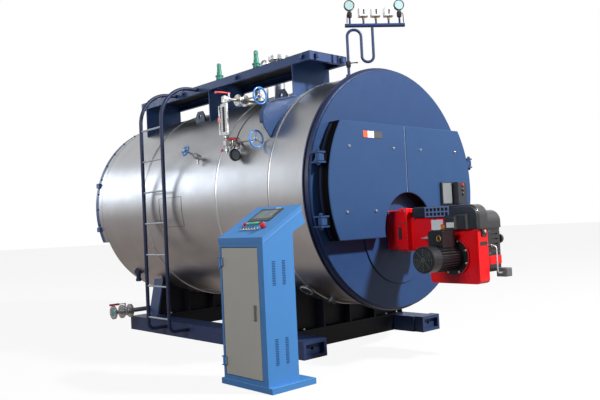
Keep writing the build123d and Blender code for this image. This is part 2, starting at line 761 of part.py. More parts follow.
def skid_cross_members():
    """The members between the two beams, one under each saddle."""
    half = BEAM_OUTER - BEAM_WIDTH
    members = []
    for offset in SADDLE_OFFSETS:
        middle = along(offset)
        members.append(block((-half, half), (middle - CROSS_WIDTH / 2, middle + CROSS_WIDTH / 2),
                             (0, BEAM_HEIGHT)))
    return Compound(children=members)


def shell_cut():
    """The space that the clad shell fills, for fittings that sit on it."""
    return clad_round(0, SEAT)


def saddle(offset):
    """A saddle: web, sloping end flanges, foot plate and ribs, cut to the shell."""
    y = along(offset)
    half = SADDLE_WIDTH / 2

    def side(inset):
        return outline([(-SADDLE_BASE + inset, BEAM_HEIGHT), (SADDLE_BASE - inset, BEAM_HEIGHT),
                        (SADDLE_SHOULDER - inset, SADDLE_TOP), (-SADDLE_SHOULDER + inset, SADDLE_TOP)])

    body = cross_section(side(0), y - SADDLE_WEB / 2, y + SADDLE_WEB / 2)
    body = body + cross_section(side(0) - side(SADDLE_WEB), y - half, y + half)
    body = body + block((-SADDLE_BASE, SADDLE_BASE), (y - half, y + half), (BEAM_HEIGHT, BEAM_HEIGHT + SADDLE_WEB))
    for x in SADDLE_RIBS:
        body = body + block((x - SADDLE_WEB / 2, x + SADDLE_WEB / 2), (y - half, y + half),
                            (BEAM_HEIGHT, SADDLE_TOP))
    return body - shell_cut()


def channel_section(back, flange_side, low):
    """The C-shaped section of a rolled channel."""
    edge = back + flange_side * CHANNEL_FLANGE
    wall = back + flange_side * CHANNEL_WALL
    top = low + CHANNEL_HEIGHT
    return outline([(back, low), (edge, low), (edge, low + CHANNEL_WALL), (wall, low + CHANNEL_WALL),
                    (wall, top - CHANNEL_WALL), (edge, top - CHANNEL_WALL), (edge, top), (back, top)])


def walkway_frame():
    """The frame of rolled channels under the deck, with a bearer over each support."""
    start = along(WALK_START)
    end = along(WALK_END)
    near = cross_section(channel_section(-WALK_NEAR, 1, WALK_BOTTOM), start, end)
    far = cross_section(channel_section(-WALK_FAR, -1, WALK_BOTTOM), start, end)
    frame = near + far
    for back, flange_side in ((start, 1), (end, -1)):
        frame = frame + side_section(channel_section(back, flange_side, WALK_BOTTOM), -WALK_NEAR, -WALK_FAR)
    for offset in SUPPORT_OFFSETS:
        bearer = channel_section(along(offset) - SUPPORT_PLATE / 2, 1, WALK_BOTTOM)
        frame = frame + side_section(bearer, -WALK_NEAR, -WALK_FAR)
    return frame


def walkway_deck():
    """The chequer plate that is walked on."""
    low = WALK_BOTTOM + CHANNEL_HEIGHT
    return block((-WALK_NEAR, -WALK_FAR), (along(WALK_START), along(WALK_END)), (low, low + DECK_THICKNESS))


def walkway_support(offset):
    """A plate that stands on the shell under the walkway; the front one has a side wing."""
    y = along(offset)
    half = SUPPORT_PLATE / 2
    points = [(-WALK_FAR, AXIS_HEIGHT), (-WALK_FAR, WALK_BOTTOM), (-WALK_NEAR, WALK_BOTTOM)]
    if offset == SUPPORT_OFFSETS[0]:
        edge = [(-x, AXIS_HEIGHT + z) for x, z in WING_EDGE]
        plate = cross_section(outline(points + edge), y - half, y + half)
        inner = [(x + WING_LIP, z - WING_LIP) for x, z in edge[:-1]]
        lip = cross_section(outline(edge[:-1] + inner[::-1]), y - WING_FLANGE / 2, y + WING_FLANGE / 2)
        return plate + lip - shell_cut()
    points.append((-WALK_NEAR, AXIS_HEIGHT))
    return cross_section(outline(points), y - half, y + half) - shell_cut()


def ladder():
    """Two bent pipes from the skid beam up and over to the walkway, with the rungs."""
    top = WALK_BOTTOM + CHANNEL_HEIGHT / 2
    frame = None
    for offset in LADDER_OFFSETS:
        y = along(offset)
        path = FilletPolyline((-BEAM_OUTER, y, LADDER_FOOT_HEIGHT), (-LADDER_X, y, LADDER_FOOT_HEIGHT),
                              (-LADDER_X, y, top), (-WALK_NEAR, y, top), radius=[LADDER_FOOT_BEND, LADDER_BEND])
        rail = tube_along(path, LADDER_TUBE)
        frame = rail if frame is None else frame + rail
    start, end = (along(offset) for offset in LADDER_OFFSETS)
    for index in range(RUNG_COUNT):
        height = RUNG_FIRST + index * RUNG_SPACING
        frame = frame + rod((-LADDER_X, start, height), (-LADDER_X, end, height), RUNG_RADIUS)
    return frame


def crown_height(x):
    """The height of the shell's surface over a given X."""
    return AXIS_HEIGHT + math.sqrt((SHELL_RADIUS + SEAT) ** 2 - x ** 2)


def shell_side(height):
    """How far the shell's surface lies from the middle plane at a given height."""
    return math.sqrt((SHELL_RADIUS + SEAT) ** 2 - (height - AXIS_HEIGHT) ** 2)


def safety_valve(offset):
    """A spring safety valve on its riser: inlet flange, body, bonnet, cap and side outlet."""
    neck = SAFETY_NECK
    base = crown_height(0)
    low = base + SAFETY_STUB
    rise = SAFETY_HEIGHT
    top = low + rise
    shoulder = low + rise / 2
    profile = [
        (0, base - SHELL_SINK),
        (neck, base - SHELL_SINK),
        (neck, low - FLANGE_THICKNESS),
        (neck * 2, low - FLANGE_THICKNESS),
        (neck * 2, low),
        (neck + VALVE_FLANGE, low + VALVE_FLANGE),
        (neck + VALVE_FLANGE, shoulder),
        (neck + 2 * VALVE_FLANGE, shoulder),
        (neck + 2 * VALVE_FLANGE, shoulder + VALVE_FLANGE),
        (neck, shoulder + 2 * VALVE_FLANGE),
        (neck - VALVE_FLANGE, top - neck),
        (neck / 2, top - neck + VALVE_FLANGE),
        (neck / 2, top),
        (0, top),
    ]
    y = along(offset)
    body = turned(profile, (0, y, 0), (0, 0, 1))
    height = low + rise / 4
    rim = SAFETY_OUTLET
    outlet = rod((0, y, height), (rim, y, height), neck)
    outlet = outlet + rod((rim, y, height), (rim + VALVE_FLANGE, y, height), neck + 2 * VALVE_FLANGE)
    return body + outlet - shell_cut()


def steam_outlet():
    """The main steam neck with its blanked flange."""
    base = crown_height(0)
    thick = FLANGE_THICKNESS
    top = base + STEAM_RISE
    gap_low = top - thick - STEAM_GAP / 2
    gap_high = gap_low + STEAM_GAP
    profile = [(0, base - SHELL_SINK), (STEAM_NECK, base - SHELL_SINK), (STEAM_NECK, top - 2 * thick),
               (STEAM_FLANGE, top - 2 * thick), (STEAM_FLANGE, gap_low), (STEAM_NECK, gap_low),
               (STEAM_NECK, gap_high), (STEAM_FLANGE, gap_high), (STEAM_FLANGE, top), (0, top)]
    pipe = turned(profile, (0, along(STEAM_OFFSET), 0), (0, 0, 1))
    return pipe - shell_cut()


def lifting_lug(side, offset):
    """A plate lug with a shackle hole, standing on the shell."""
    y = along(offset)
    top = crown_height(LUG_X) + LUG_RISE
    shoulder = top - LUG_RISE / 2
    profile = outline([(y - LUG_HALF, AXIS_HEIGHT), (y + LUG_HALF, AXIS_HEIGHT), (y + LUG_HALF, shoulder),
                       (y + LUG_HALF / 2, top), (y - LUG_HALF / 2, top), (y - LUG_HALF, shoulder)])
    hole = Pos(y, shoulder) * Circle(LUG_HOLE)
    x = side * LUG_X
    plate = side_section(profile - hole, x - LUG_THICKNESS / 2, x + LUG_THICKNESS / 2)
    return plate - shell_cut()


GAUGE_Y = along(GAUGE_OFFSET)


def level_gauge():
    """The flat glass water gauge: slotted body, stalk and the two end blocks."""
    half = GAUGE_BODY_WIDTH / 2
    depth = GAUGE_BODY_DEPTH / 2
    x = -GAUGE_X
    low, high = GAUGE_BODY
    body = block((x - depth, x + depth), (GAUGE_Y - half, GAUGE_Y + half), GAUGE_BODY)
    body = chamfer(body.edges().filter_by(Axis.Z), depth / 3)
    window = block((x - depth - CUT, x - depth / 2), (GAUGE_Y - half / 3, GAUGE_Y + half / 3),
                   (low + half, high - half))
    end = GAUGE_LOW - 2 * VALVE_BODY
    stalk = rod((x, GAUGE_Y, end), (x, GAUGE_Y, GAUGE_HIGH + VALVE_BODY), GAUGE_PIPE)
    gauge = body - window + stalk
    for height in (GAUGE_LOW, GAUGE_HIGH):
        reach = GAUGE_BLOCK_HALF
        gauge = gauge + block((x - reach, x + reach), (GAUGE_Y - reach, GAUGE_Y + reach),
                              (height - reach, height + reach))
    return gauge


def gauge_pipe(height, valve_x, stem):
    """A level gauge connection: pipe from the shell with its flanged wheel valve."""
    x = -valve_x
    start = -shell_side(height) + SHELL_SINK
    pipe = rod((start, GAUGE_Y, height), (-GAUGE_X + GAUGE_BLOCK_HALF, GAUGE_Y, height), GAUGE_PIPE)
    valve = rod((x - VALVE_HALF, GAUGE_Y, height), (x + VALVE_HALF, GAUGE_Y, height), VALVE_BODY)
    for flange_x in (x - VALVE_HALF, x + VALVE_HALF):
        near = (flange_x - VALVE_FLANGE, GAUGE_Y, height)
        far = (flange_x + VALVE_FLANGE, GAUGE_Y, height)
        valve = valve + rod(near, far, GAUGE_FLANGE)
    cap = VALVE_NECK + VALVE_FLANGE
    bonnet = turned([(0, 0), (VALVE_NECK, 0), (VALVE_NECK, cap), (cap, cap), (cap, cap + VALVE_FLANGE),
                     (VALVE_NECK / 2, cap + 2 * VALVE_FLANGE), (VALVE_NECK / 2, VALVE_BONNET),
                     (0, VALVE_BONNET)], (x, GAUGE_Y, height), (0, -1, 0))
    return pipe + valve + bonnet + valve_stem((x, GAUGE_Y, height), (0, -1, 0), stem) - shell_cut()


def valve_stem(origin, direction, length):
    """A stem with the collar and the nut that keep a handwheel in place."""
    hub_end = length + WHEEL_HUB_LENGTH + 2 * WHEEL_GAP
    return turned([(0, 0), (STEM_RADIUS, 0), (STEM_RADIUS, length - STEM_NUT_LENGTH),
                   (STEM_NUT, length - STEM_NUT_LENGTH), (STEM_NUT, length), (STEM_RADIUS, length),
                   (STEM_RADIUS, hub_end), (STEM_NUT, hub_end), (STEM_NUT, hub_end + STEM_NUT_LENGTH),
                   (0, hub_end + STEM_NUT_LENGTH)], origin, direction)


def handwheel(origin, direction, length, radius):
    """A three-spoke handwheel whose bored hub turns on the stem."""
    place = Plane(origin=origin, z_dir=direction).location * Pos(0, 0, length + WHEEL_GAP)
    level = WHEEL_HUB_LENGTH / 2
    wheel = Pos(0, 0, level) * Torus(radius - WHEEL_RIM, WHEEL_RIM) + Pos(0, 0, level) * Cylinder(
        WHEEL_HUB, WHEEL_HUB_LENGTH)
    for index in range(WHEEL_SPOKES):
        spoke = rod((0, 0, level), (radius - WHEEL_RIM, 0, level), WHEEL_RIM / 2)
        wheel = wheel + Rot(0, 0, 360 / WHEEL_SPOKES * (index + 0.5)) * spoke
    return place * (wheel - Pos(0, 0, level) * Cylinder(STEM_RADIUS + WHEEL_GAP, 2 * WHEEL_HUB_LENGTH))


def side_point(height):
    """The place on the left of the shell at a given height, with its outward direction."""
    surface = shell_side(height)
    return -surface, (-surface, 0, height - AXIS_HEIGHT)


def side_valve():
    """The small valve that stands square to the side of the shell, with its spout."""
    x, direction = side_point(SIDE_VALVE_HEIGHT)
    origin = (x, along(SIDE_VALVE_OFFSET), SIDE_VALVE_HEIGHT)
    body = turned([(0, -SHELL_SINK), (GAUGE_PIPE, -SHELL_SINK), (GAUGE_PIPE, VALVE_BODY),
                   (VALVE_BODY, VALVE_BODY), (VALVE_BODY, 3 * VALVE_BODY), (GAUGE_PIPE, 4 * VALVE_BODY),
                   (0, 4 * VALVE_BODY)], origin, direction)
    middle = Vector(*origin) + Vector(*direction).normalized() * (2 * VALVE_BODY)
    spout = rod(middle, middle - Vector(0, 0, SIDE_VALVE_SPOUT), GAUGE_PIPE)
    return body + spout + valve_stem(origin, direction, SIDE_VALVE_STEM) - shell_cut()


def round_fitting(origin, direction, neck, radius, reach, depth):
    """A round flange or dial on a neck that stands square to the shell."""
    shape = turned([(0, -SHELL_SINK), (neck, -SHELL_SINK), (neck, reach), (radius, reach),
                    (radius, reach + depth), (0, reach + depth)], origin, direction)
    return shape - shell_cut()


def dial_thermometer():
    """The dial on its short stem below the water gauge."""
    x, direction = side_point(DIAL_HEIGHT)
    return round_fitting((x, along(DIAL_OFFSET), DIAL_HEIGHT), direction, GAUGE_PIPE, DIAL_RADIUS, DIAL_STEM,
                         DIAL_DEPTH)


def low_fitting(offset, angle, radius, neck):
    """A blanked opening on the left below the middle, at an angle from the lowest line."""
    lean = math.radians(angle)
    reach = SHELL_RADIUS + SEAT
    origin = (-reach * math.sin(lean), along(offset), AXIS_HEIGHT - reach * math.cos(lean))
    return round_fitting(origin, (-math.sin(lean), 0, -math.cos(lean)), neck, radius, FLANGE_THICKNESS,
                         FLANGE_THICKNESS)


def shell_fittings():
    """The handhole, the drain nozzle and the dial."""
    handhole = low_fitting(HANDHOLE_OFFSET, HANDHOLE_ANGLE, HANDHOLE_RADIUS, HANDHOLE_NECK)
    drain = low_fitting(DRAIN_OFFSET, DRAIN_ANGLE, DRAIN_RADIUS, DRAIN_NECK)
    return group([handhole, drain, dial_thermometer()])


TURN = math.radians(MANIFOLD_TURN)
MANIFOLD_HEIGHT = AXIS_HEIGHT + SHELL_RADIUS + MANIFOLD_RISE
SIPHON_TOP = MANIFOLD_HEIGHT - SIPHON_DROP
SIPHON_LOW = SIPHON_TOP - SIPHON_LOOP


def on_run(run, height):
    """A point on the turned upright plane of the instrument pipes."""
    return (-SIPHON_X + run * math.cos(TURN), along(SIPHON_OFFSET) - run * math.sin(TURN), height)


def siphon():
    """The pressure pipe: up from the shell, over, down through a loop and up again."""
    up, down, rise = SIPHON_RUNS
    base = crown_height(SIPHON_X)
    path = FilletPolyline(on_run(up, base - SHELL_SINK), on_run(up, SIPHON_TOP), on_run(down, SIPHON_TOP),
                          on_run(down, SIPHON_LOW), on_run(rise, SIPHON_LOW),
                          on_run(rise, MANIFOLD_HEIGHT - MANIFOLD_RADIUS - SEAT), radius=SIPHON_BENDS)
    pipe = tube_along(path, SIPHON_RADIUS)
    foot = rod(on_run(up, base - SHELL_SINK), on_run(up, base + SIPHON_FOOT), 2 * SIPHON_RADIUS)
    return pipe + foot - shell_cut()


def manifold():
    """The instrument manifold with its five risers."""
    bar = rod(on_run(MANIFOLD_START, MANIFOLD_HEIGHT), on_run(MANIFOLD_END, MANIFOLD_HEIGHT), MANIFOLD_RADIUS)
    for run in GAUGE_RUNS + SWITCH_RUNS:
        bar = bar + rod(on_run(run, MANIFOLD_HEIGHT), on_run(run, MANIFOLD_HEIGHT + RISER_LENGTH), RISER_RADIUS)
    return bar


def pressure_switch(run):
    """A small switch enclosure standing on its riser."""
    box = Box(*SWITCH_SIZE, align=(Align.CENTER, Align.CENTER, Align.MIN))
    box = chamfer(box.edges().filter_by(Axis.Z), RISER_RADIUS)
    return Pos(*on_run(run, MANIFOLD_HEIGHT + RISER_LENGTH)) * Rot(0, 0, -MANIFOLD_TURN) * box


def pressure_gauge(run):
    """A dial gauge on its cock, facing the burner end."""
    low = MANIFOLD_HEIGHT + RISER_LENGTH
    cock = rod(on_run(run, low), on_run(run, low + COCK_HEIGHT), COCK_RADIUS)
    middle = on_run(run, low + COCK_HEIGHT + PRESSURE_DIAL_RADIUS)
    face = (-math.sin(TURN), -math.cos(TURN), 0)
    case = turned([(0, -DIAL_DEPTH / 2), (PRESSURE_DIAL_RADIUS, -DIAL_DEPTH / 2),
                   (PRESSURE_DIAL_RADIUS, DIAL_DEPTH / 2), (0, DIAL_DEPTH / 2)], middle, face)
    neck = rod(on_run(run, low), middle, RISER_RADIUS)
    return cock + neck + case


def blowdown_line():
    """The blow-down pipe over the skid beam, with its lever valve and end flange."""
    y = along(BLOWDOWN_OFFSET)
    height = BLOWDOWN_HEIGHT
    pipe = rod((-BLOWDOWN_RISER_X, y, height), (-BLOWDOWN_END, y, height), BLOWDOWN_PIPE)
    riser_foot = (-BLOWDOWN_RISER_X, y, height - BLOWDOWN_PIPE)
    riser = rod(riser_foot, (-BLOWDOWN_RISER_X, y, AXIS_HEIGHT), BLOWDOWN_PIPE)
    line = pipe + riser
    for x in (-BLOWDOWN_END, -BLOWDOWN_VALVE_X - BLOWDOWN_VALVE, -BLOWDOWN_VALVE_X + BLOWDOWN_VALVE):
        line = line + rod((x, y, height), (x + FLANGE_THICKNESS, y, height), BLOWDOWN_FLANGE)
    line = line + Pos(-BLOWDOWN_VALVE_X, y, height) * Sphere(BLOWDOWN_VALVE)
    top = height + BLOWDOWN_FLANGE + STEM_RADIUS
    line = line + rod((-BLOWDOWN_VALVE_X, y, height), (-BLOWDOWN_VALVE_X, y, top), STEM_RADIUS)
    lever = block((-BLOWDOWN_VALVE_X - BLOWDOWN_LEVER, -BLOWDOWN_VALVE_X + STEM_RADIUS),
                  (y - STEM_RADIUS, y + STEM_RADIUS), (top, top + STEM_RADIUS))
    return line + lever - shell_cut()


DESK_RISE = DESK_BACK_HEIGHT - DESK_FRONT_HEIGHT
DESK_Y = (along(DESK_FRONT), along(DESK_FRONT + DESK_WIDTH))
DESK_DOOR_Y = (along(DESK_DOOR_START), along(DESK_DOOR_END))
DESK_PIN_X = -DESK_FACE - DESK_DOOR_GAP - DESK_BARREL
DESK_PIN_Y = along(DESK_DOOR_END) + DESK_DOOR_GAP / 2


def desk_body():
    """The hollow housing of the control desk: doorway in its face and a folded lid."""
    front = -DESK_FACE
    back = front + DESK_DEPTH_TOP
    lid_drop = DESK_LID / math.cos(math.atan2(DESK_RISE, DESK_DEPTH_TOP))
    side = outline([
        (front, PLINTH_HEIGHT),
        (front, DESK_FRONT_HEIGHT - lid_drop),
        (back, DESK_BACK_HEIGHT - lid_drop),
        (back, DESK_BACK_HEIGHT - DESK_LIP),
        (front + DESK_BULGE, DESK_BULGE_HEIGHT),
        (front + DESK_DEPTH_LOW, DESK_NECK_HEIGHT),
        (front + DESK_DEPTH_LOW, PLINTH_HEIGHT),
    ])
    low, high = DESK_Y
    door_low, door_high = DESK_DOOR_Y
    hollow = cross_section(offset(side, -DESK_WALL), low + DESK_WALL, high - DESK_WALL)
    doorway = block((front - CUT, front + DESK_WALL + CUT), (door_low - DESK_DOOR_GAP, door_high + DESK_DOOR_GAP),
                    (DESK_DOOR_BOTTOM - DESK_DOOR_GAP, DESK_DOOR_TOP + DESK_DOOR_GAP))
    over = DESK_LID_OVER
    nose = DESK_FRONT_HEIGHT - over * DESK_RISE / DESK_DEPTH_TOP
    lid_side = outline([(front - over, nose - lid_drop), (front - over, nose),
                        (back, DESK_BACK_HEIGHT), (back, DESK_BACK_HEIGHT - lid_drop)])
    lid = cross_section(lid_side, low - over, high + over)
    lid = chamfer(lid.faces().sort_by(Axis.Z)[-1].edges(), DESK_LID_EDGE)
    body = cross_section(side, low, high) - hollow - doorway + lid
    for height in DESK_PIN_HEIGHTS:
        body = body + desk_hinge(height)
    return body


def desk_plinth():
    """The base that the desk stands on."""
    low, high = DESK_Y
    return block((-DESK_FACE, -DESK_FACE + PLINTH_DEPTH), (low - PLINTH_OVER, high + PLINTH_OVER),
                 (0, PLINTH_HEIGHT))


def desk_hinge(height):
    """A fixed pin beside the desk door, between two ears on the desk's face."""
    half = DESK_BARREL_LENGTH / 2 + DESK_PIN_GAP
    low = height - half - DESK_EAR
    pin = rod((DESK_PIN_X, DESK_PIN_Y, low), (DESK_PIN_X, DESK_PIN_Y, height + half + DESK_EAR), DESK_PIN)
    for ear_low in (low, height + half):
        ear = rod((DESK_PIN_X, DESK_PIN_Y, ear_low), (DESK_PIN_X, DESK_PIN_Y, ear_low + DESK_EAR), DESK_BARREL)
        root = block((DESK_PIN_X - DESK_BARREL, -DESK_FACE),
                     (DESK_PIN_Y + DESK_DOOR_GAP / 2, DESK_PIN_Y + 2 * DESK_BARREL), (ear_low, ear_low + DESK_EAR))
        pin = pin + ear + root
    return pin


def desk_door():
    """The door flush in the desk's face, with its hinge barrels and its handle."""
    face = -DESK_FACE
    door = block((face, face + DESK_DOOR_THICKNESS), DESK_DOOR_Y, (DESK_DOOR_BOTTOM, DESK_DOOR_TOP))
    door = chamfer(door.faces().sort_by(Axis.X)[0].edges(), DESK_DOOR_EDGE)
    for height in DESK_PIN_HEIGHTS:
        low = height - DESK_BARREL_LENGTH / 2
        high = height + DESK_BARREL_LENGTH / 2
        door = door + rod((DESK_PIN_X, DESK_PIN_Y, low), (DESK_PIN_X, DESK_PIN_Y, high), DESK_BARREL)
        leaf = block((DESK_PIN_X, face + DESK_DOOR_EDGE), (DESK_DOOR_Y[1] - DESK_LEAF, DESK_DOOR_Y[1]), (low, high))
        door = door + leaf - rod((DESK_PIN_X, DESK_PIN_Y, low - CUT), (DESK_PIN_X, DESK_PIN_Y, high + CUT),
                                 DESK_PIN + DESK_PIN_GAP)
    y = along(HANDLE_OFFSET)
    grip = block((face - HANDLE_DEPTH, face), (y - HANDLE_WIDTH / 2, y + HANDLE_WIDTH / 2), HANDLE_HEIGHTS)
    return door + chamfer(grip.faces().sort_by(Axis.X)[0].edges(), HANDLE_WIDTH / 4)


SLOPE_NORMAL = (-DESK_RISE, 0, DESK_DEPTH_TOP)


def desk_slope(run, cross):
    """A point on the sloping top, from its front edge and from the desk's middle."""
    length = math.hypot(DESK_RISE, DESK_DEPTH_TOP)
    return (-DESK_FACE + run * DESK_DEPTH_TOP / length, sum(DESK_Y) / 2 + cross,
            DESK_FRONT_HEIGHT + run * DESK_RISE / length)


def desk_screen():
    """The operator screen on the sloping top."""
    length, width, height = SCREEN_SIZE
    plane = Plane(origin=desk_slope(SCREEN_RUN, SCREEN_CROSS), x_dir=(DESK_DEPTH_TOP, 0, DESK_RISE),
                  z_dir=SLOPE_NORMAL)
    block_shape = Box(length, width, height, align=(Align.CENTER, Align.CENTER, Align.MIN))
    return plane.location * chamfer(block_shape.faces().sort_by(Axis.Z)[-1].edges(), height / 3)


def push_button(run, cross, radius, height):
    """A round push button on the sloping top."""
    collar = radius + BUTTON_COLLAR
    return turned([(0, 0), (collar, 0), (collar, height / 3), (radius, height / 3), (radius, height), (0, height)],
                  desk_slope(run, cross), SLOPE_NORMAL)


def desk_controls():
    """The screen, with two rows of push buttons and the stop button in front of it."""
    controls = [desk_screen(), push_button(STOP_RUN, STOP_CROSS, STOP_RADIUS, STOP_HEIGHT)]
    for run in BUTTON_RUNS:
        for index in range(BUTTON_COUNT):
            cross = (index - (BUTTON_COUNT - 1) / 2) * BUTTON_SPACING
            controls.append(push_button(run, cross, BUTTON_RADIUS, BUTTON_HEIGHT))
    return Compound(children=controls)


def gauge_wheel(height, valve_x, stem):
    """The handwheel of one gauge valve."""
    return handwheel((-valve_x, GAUGE_Y, height), (0, -1, 0), stem, WHEEL_RADIUS)


def side_wheel():
    """The handwheel of the valve on the side of the shell."""
    x, direction = side_point(SIDE_VALVE_HEIGHT)
    origin = (x, along(SIDE_VALVE_OFFSET), SIDE_VALVE_HEIGHT)
    return handwheel(origin, direction, SIDE_VALVE_STEM, SIDE_WHEEL_RADIUS)


def save_all():
    """Builds and writes every sub-part."""
    save("shell_cladding", cladding())
    save("front_rim", front_rim())
    save("front_plate", front_plate())
    save("smoke_box_frame", smoke_box_frame())
    save("smoke_door_left", smoke_door(-1))
    save("smoke_door_right", smoke_door(1))
    save("door_control_boxes", control_box())
    save("hinge_brackets", group(hinge_bracket(side, h) for side in (-1, 1) for h in HINGE_HEIGHTS))
    save("furnace_plate", furnace_plate())
    save("burner_flange", burner_flange())
    save("burner_head", burner_head())
    save("burner_fan_casing", fan_casing())
    save("burner_cover", burner_cover())
    save("burner_rear_box", burner_rear_box())
    save("burner_servo_box", servo_box())
    save("burner_motor", burner_motor())
    save("rear_plate", rear_plate())
    save("rear_smoke_box", rear_smoke_box())
    save("rear_cover", rear_cover())
    save("skid_beams", group(skid_beam(side) for side in (-1, 1)))
    save("skid_cross_members", skid_cross_members())
    save("saddles", group(saddle(offset) for offset in SADDLE_OFFSETS))
    save("walkway_frame", walkway_frame())
    save("walkway_deck", walkway_deck())
    save("walkway_supports", group(walkway_support(offset) for offset in SUPPORT_OFFSETS))
    save("ladder", ladder())
    save("safety_valves", group(safety_valve(offset) for offset in SAFETY_OFFSETS))
    save("steam_outlet", steam_outlet())
    save("lifting_lugs", group(lifting_lug(side, offset) for side in (-1, 1) for offset in LUG_OFFSETS))
    save("level_gauge", level_gauge())
    save("gauge_pipes", group(gauge_pipe(*place) for place in GAUGE_VALVES))
    save("handwheel_upper", gauge_wheel(*GAUGE_VALVES[0]))
    save("handwheel_lower", gauge_wheel(*GAUGE_VALVES[1]))
    save("side_valve", side_valve())
    save("handwheel_side", side_wheel())
    save("siphon_pipe", siphon())
    save("manifold", manifold())
    save("pressure_switches", group(pressure_switch(run) for run in SWITCH_RUNS))
    save("pressure_gauges", group(pressure_gauge(run) for run in GAUGE_RUNS))
    save("blowdown_line", blowdown_line())
    save("shell_fittings", shell_fittings())
    save("desk_body", desk_body())
    save("desk_plinth", desk_plinth())
    save("desk_door", desk_door())
    save("desk_controls", desk_controls())


os.makedirs("parts", exist_ok=True)
save_all()
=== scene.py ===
"""Finishes, fastenings and small fittings of a packaged boiler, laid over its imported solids."""

import math
from itertools import product

import bpy
import numpy as np
from mathutils import Matrix, Vector

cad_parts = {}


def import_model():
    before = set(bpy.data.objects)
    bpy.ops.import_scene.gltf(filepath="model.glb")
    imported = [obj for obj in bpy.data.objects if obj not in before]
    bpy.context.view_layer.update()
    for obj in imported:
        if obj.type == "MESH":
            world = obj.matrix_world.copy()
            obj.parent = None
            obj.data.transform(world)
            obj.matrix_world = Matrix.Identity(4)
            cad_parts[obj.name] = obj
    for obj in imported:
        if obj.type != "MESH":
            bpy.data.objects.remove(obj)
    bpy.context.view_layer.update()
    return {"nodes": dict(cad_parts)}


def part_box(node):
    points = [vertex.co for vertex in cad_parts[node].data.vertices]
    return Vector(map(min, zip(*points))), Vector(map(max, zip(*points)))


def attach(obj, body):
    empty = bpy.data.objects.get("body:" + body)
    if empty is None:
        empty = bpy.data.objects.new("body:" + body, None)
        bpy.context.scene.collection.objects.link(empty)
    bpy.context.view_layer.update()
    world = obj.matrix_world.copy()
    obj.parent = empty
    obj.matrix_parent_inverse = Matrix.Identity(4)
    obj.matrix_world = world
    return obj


bl_info = {
    "name": "Boiler finishes",
    "version": (1, 0, 0),
    "blender": (4, 5, 0),
    "location": "3D View > Sidebar > Boiler",
    "description": "Dresses the packed solids of a boiler with finishes and small fittings",
    "category": "Object",
}

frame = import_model()

# Places that several pieces share, in metres.
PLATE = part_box("front_plate")[0][1]
AXIS_Z = 1.53
SHELL = 1.14
DOOR_FACE = -0.935
BAND_RADIUS = 1.0645
HINGE_X, HINGE_Y = 1.130, -0.888
SOCKET_COVER = (0.6025, -0.960, 1.467)

# The burner: the left sides of its neck, rim, hood and motor, the fan's face, and two axes as Y and Z.
NECK_X, RIM_X, HOOD_X, COWL_X = -0.135, -0.200, -0.165, -0.588
FAN_Y = -1.775
MOTOR = (-1.522, 0.880)
SWITCH = (-1.424, 1.137)

# The water gauge: its axis as X and Y, the heights of its valves, and its dial's place and direction.
GAUGE = (-1.206, 0.300)
UPPER_Z, LOWER_Z = 2.482, 2.048
DIAL = ((-1.145, 0.246, 1.930), (-0.02, -0.99, 0.12))

# The blow-down line's axis as Y and Z, and the depth and soft edge of a label.
BLOWDOWN = (2.595, 0.262)
LABEL = (0.0012, 0.0004)

# The round seams: how far behind the front plate, and the bead's radius. The laps: degrees from the top.
SEAMS = ((0.583, 0.0026), (1.415, 0.004), (2.854, 0.004))
LAPS = (203.0, 118.0)

# Directions: the boiler's own, those of the desk's slope, and those of the turned instrument pipes.
ACROSS, ALONG, UP = np.eye(3)
LEFT, FRONT = -ACROSS, -ALONG
SLOPE = np.array((-0.4982, 0.0, 0.8671))
UPHILL = np.array((0.8671, 0.0, 0.4982))
PIPE_TURN = math.radians(36)
SIDEWAYS = np.array((math.cos(PIPE_TURN), -math.sin(PIPE_TURN), 0.0))
FACING = np.array((-math.sin(PIPE_TURN), -math.cos(PIPE_TURN), 0.0))


# Shapes

def basis(origin, out, side=None):
    """A 4 x 3 array: two cross directions, the outward direction and the origin."""
    out = np.array(Vector(out).normalized())
    guess = np.array(side if side is not None else ((0, 0, 1) if abs(out[2]) < 0.9 else (1, 0, 0)), float)
    across = np.cross(guess, out)
    across /= np.linalg.norm(across)
    return np.array([across, np.cross(out, across), out, np.array(origin, float)])


def turns(count):
    """Equal angles round a whole turn."""
    return np.linspace(0, 2 * np.pi, count, endpoint=False)


def circle(radius, count=32):
    """Points at equal angles round a circle."""
    angle = turns(count)
    return radius * np.stack([np.cos(angle), np.sin(angle)], -1)


def arc(turn, middle, width, height, axis=1):
    """Points at the given angles on an ellipse about a middle, square to Y, or to X with axis 0."""
    sides = [width * np.cos(turn), height * np.sin(turn)]
    sides.insert(axis, 0 * turn)
    return np.stack(sides, -1) + middle


def hexagon(radius):
    """Twelve points on a hexagon: its corners and the middles of its sides."""
    corners = circle(radius, 6)
    middles = (corners + np.roll(corners, -1, 0)) / 2
    return np.stack([corners, middles], 1).reshape(-1, 2)


def rounded(width, height, radius):
    """A rectangle whose corners are quarter circles."""
    turn = np.linspace(0, np.pi / 2, 5)
    corner = radius * np.stack([np.cos(turn), np.sin(turn)], -1) + [width / 2 - radius, height / 2 - radius]
    mirrored = [corner, corner[::-1] * [-1, 1], -corner, corner[::-1] * [1, -1]]
    return np.concatenate(mirrored)


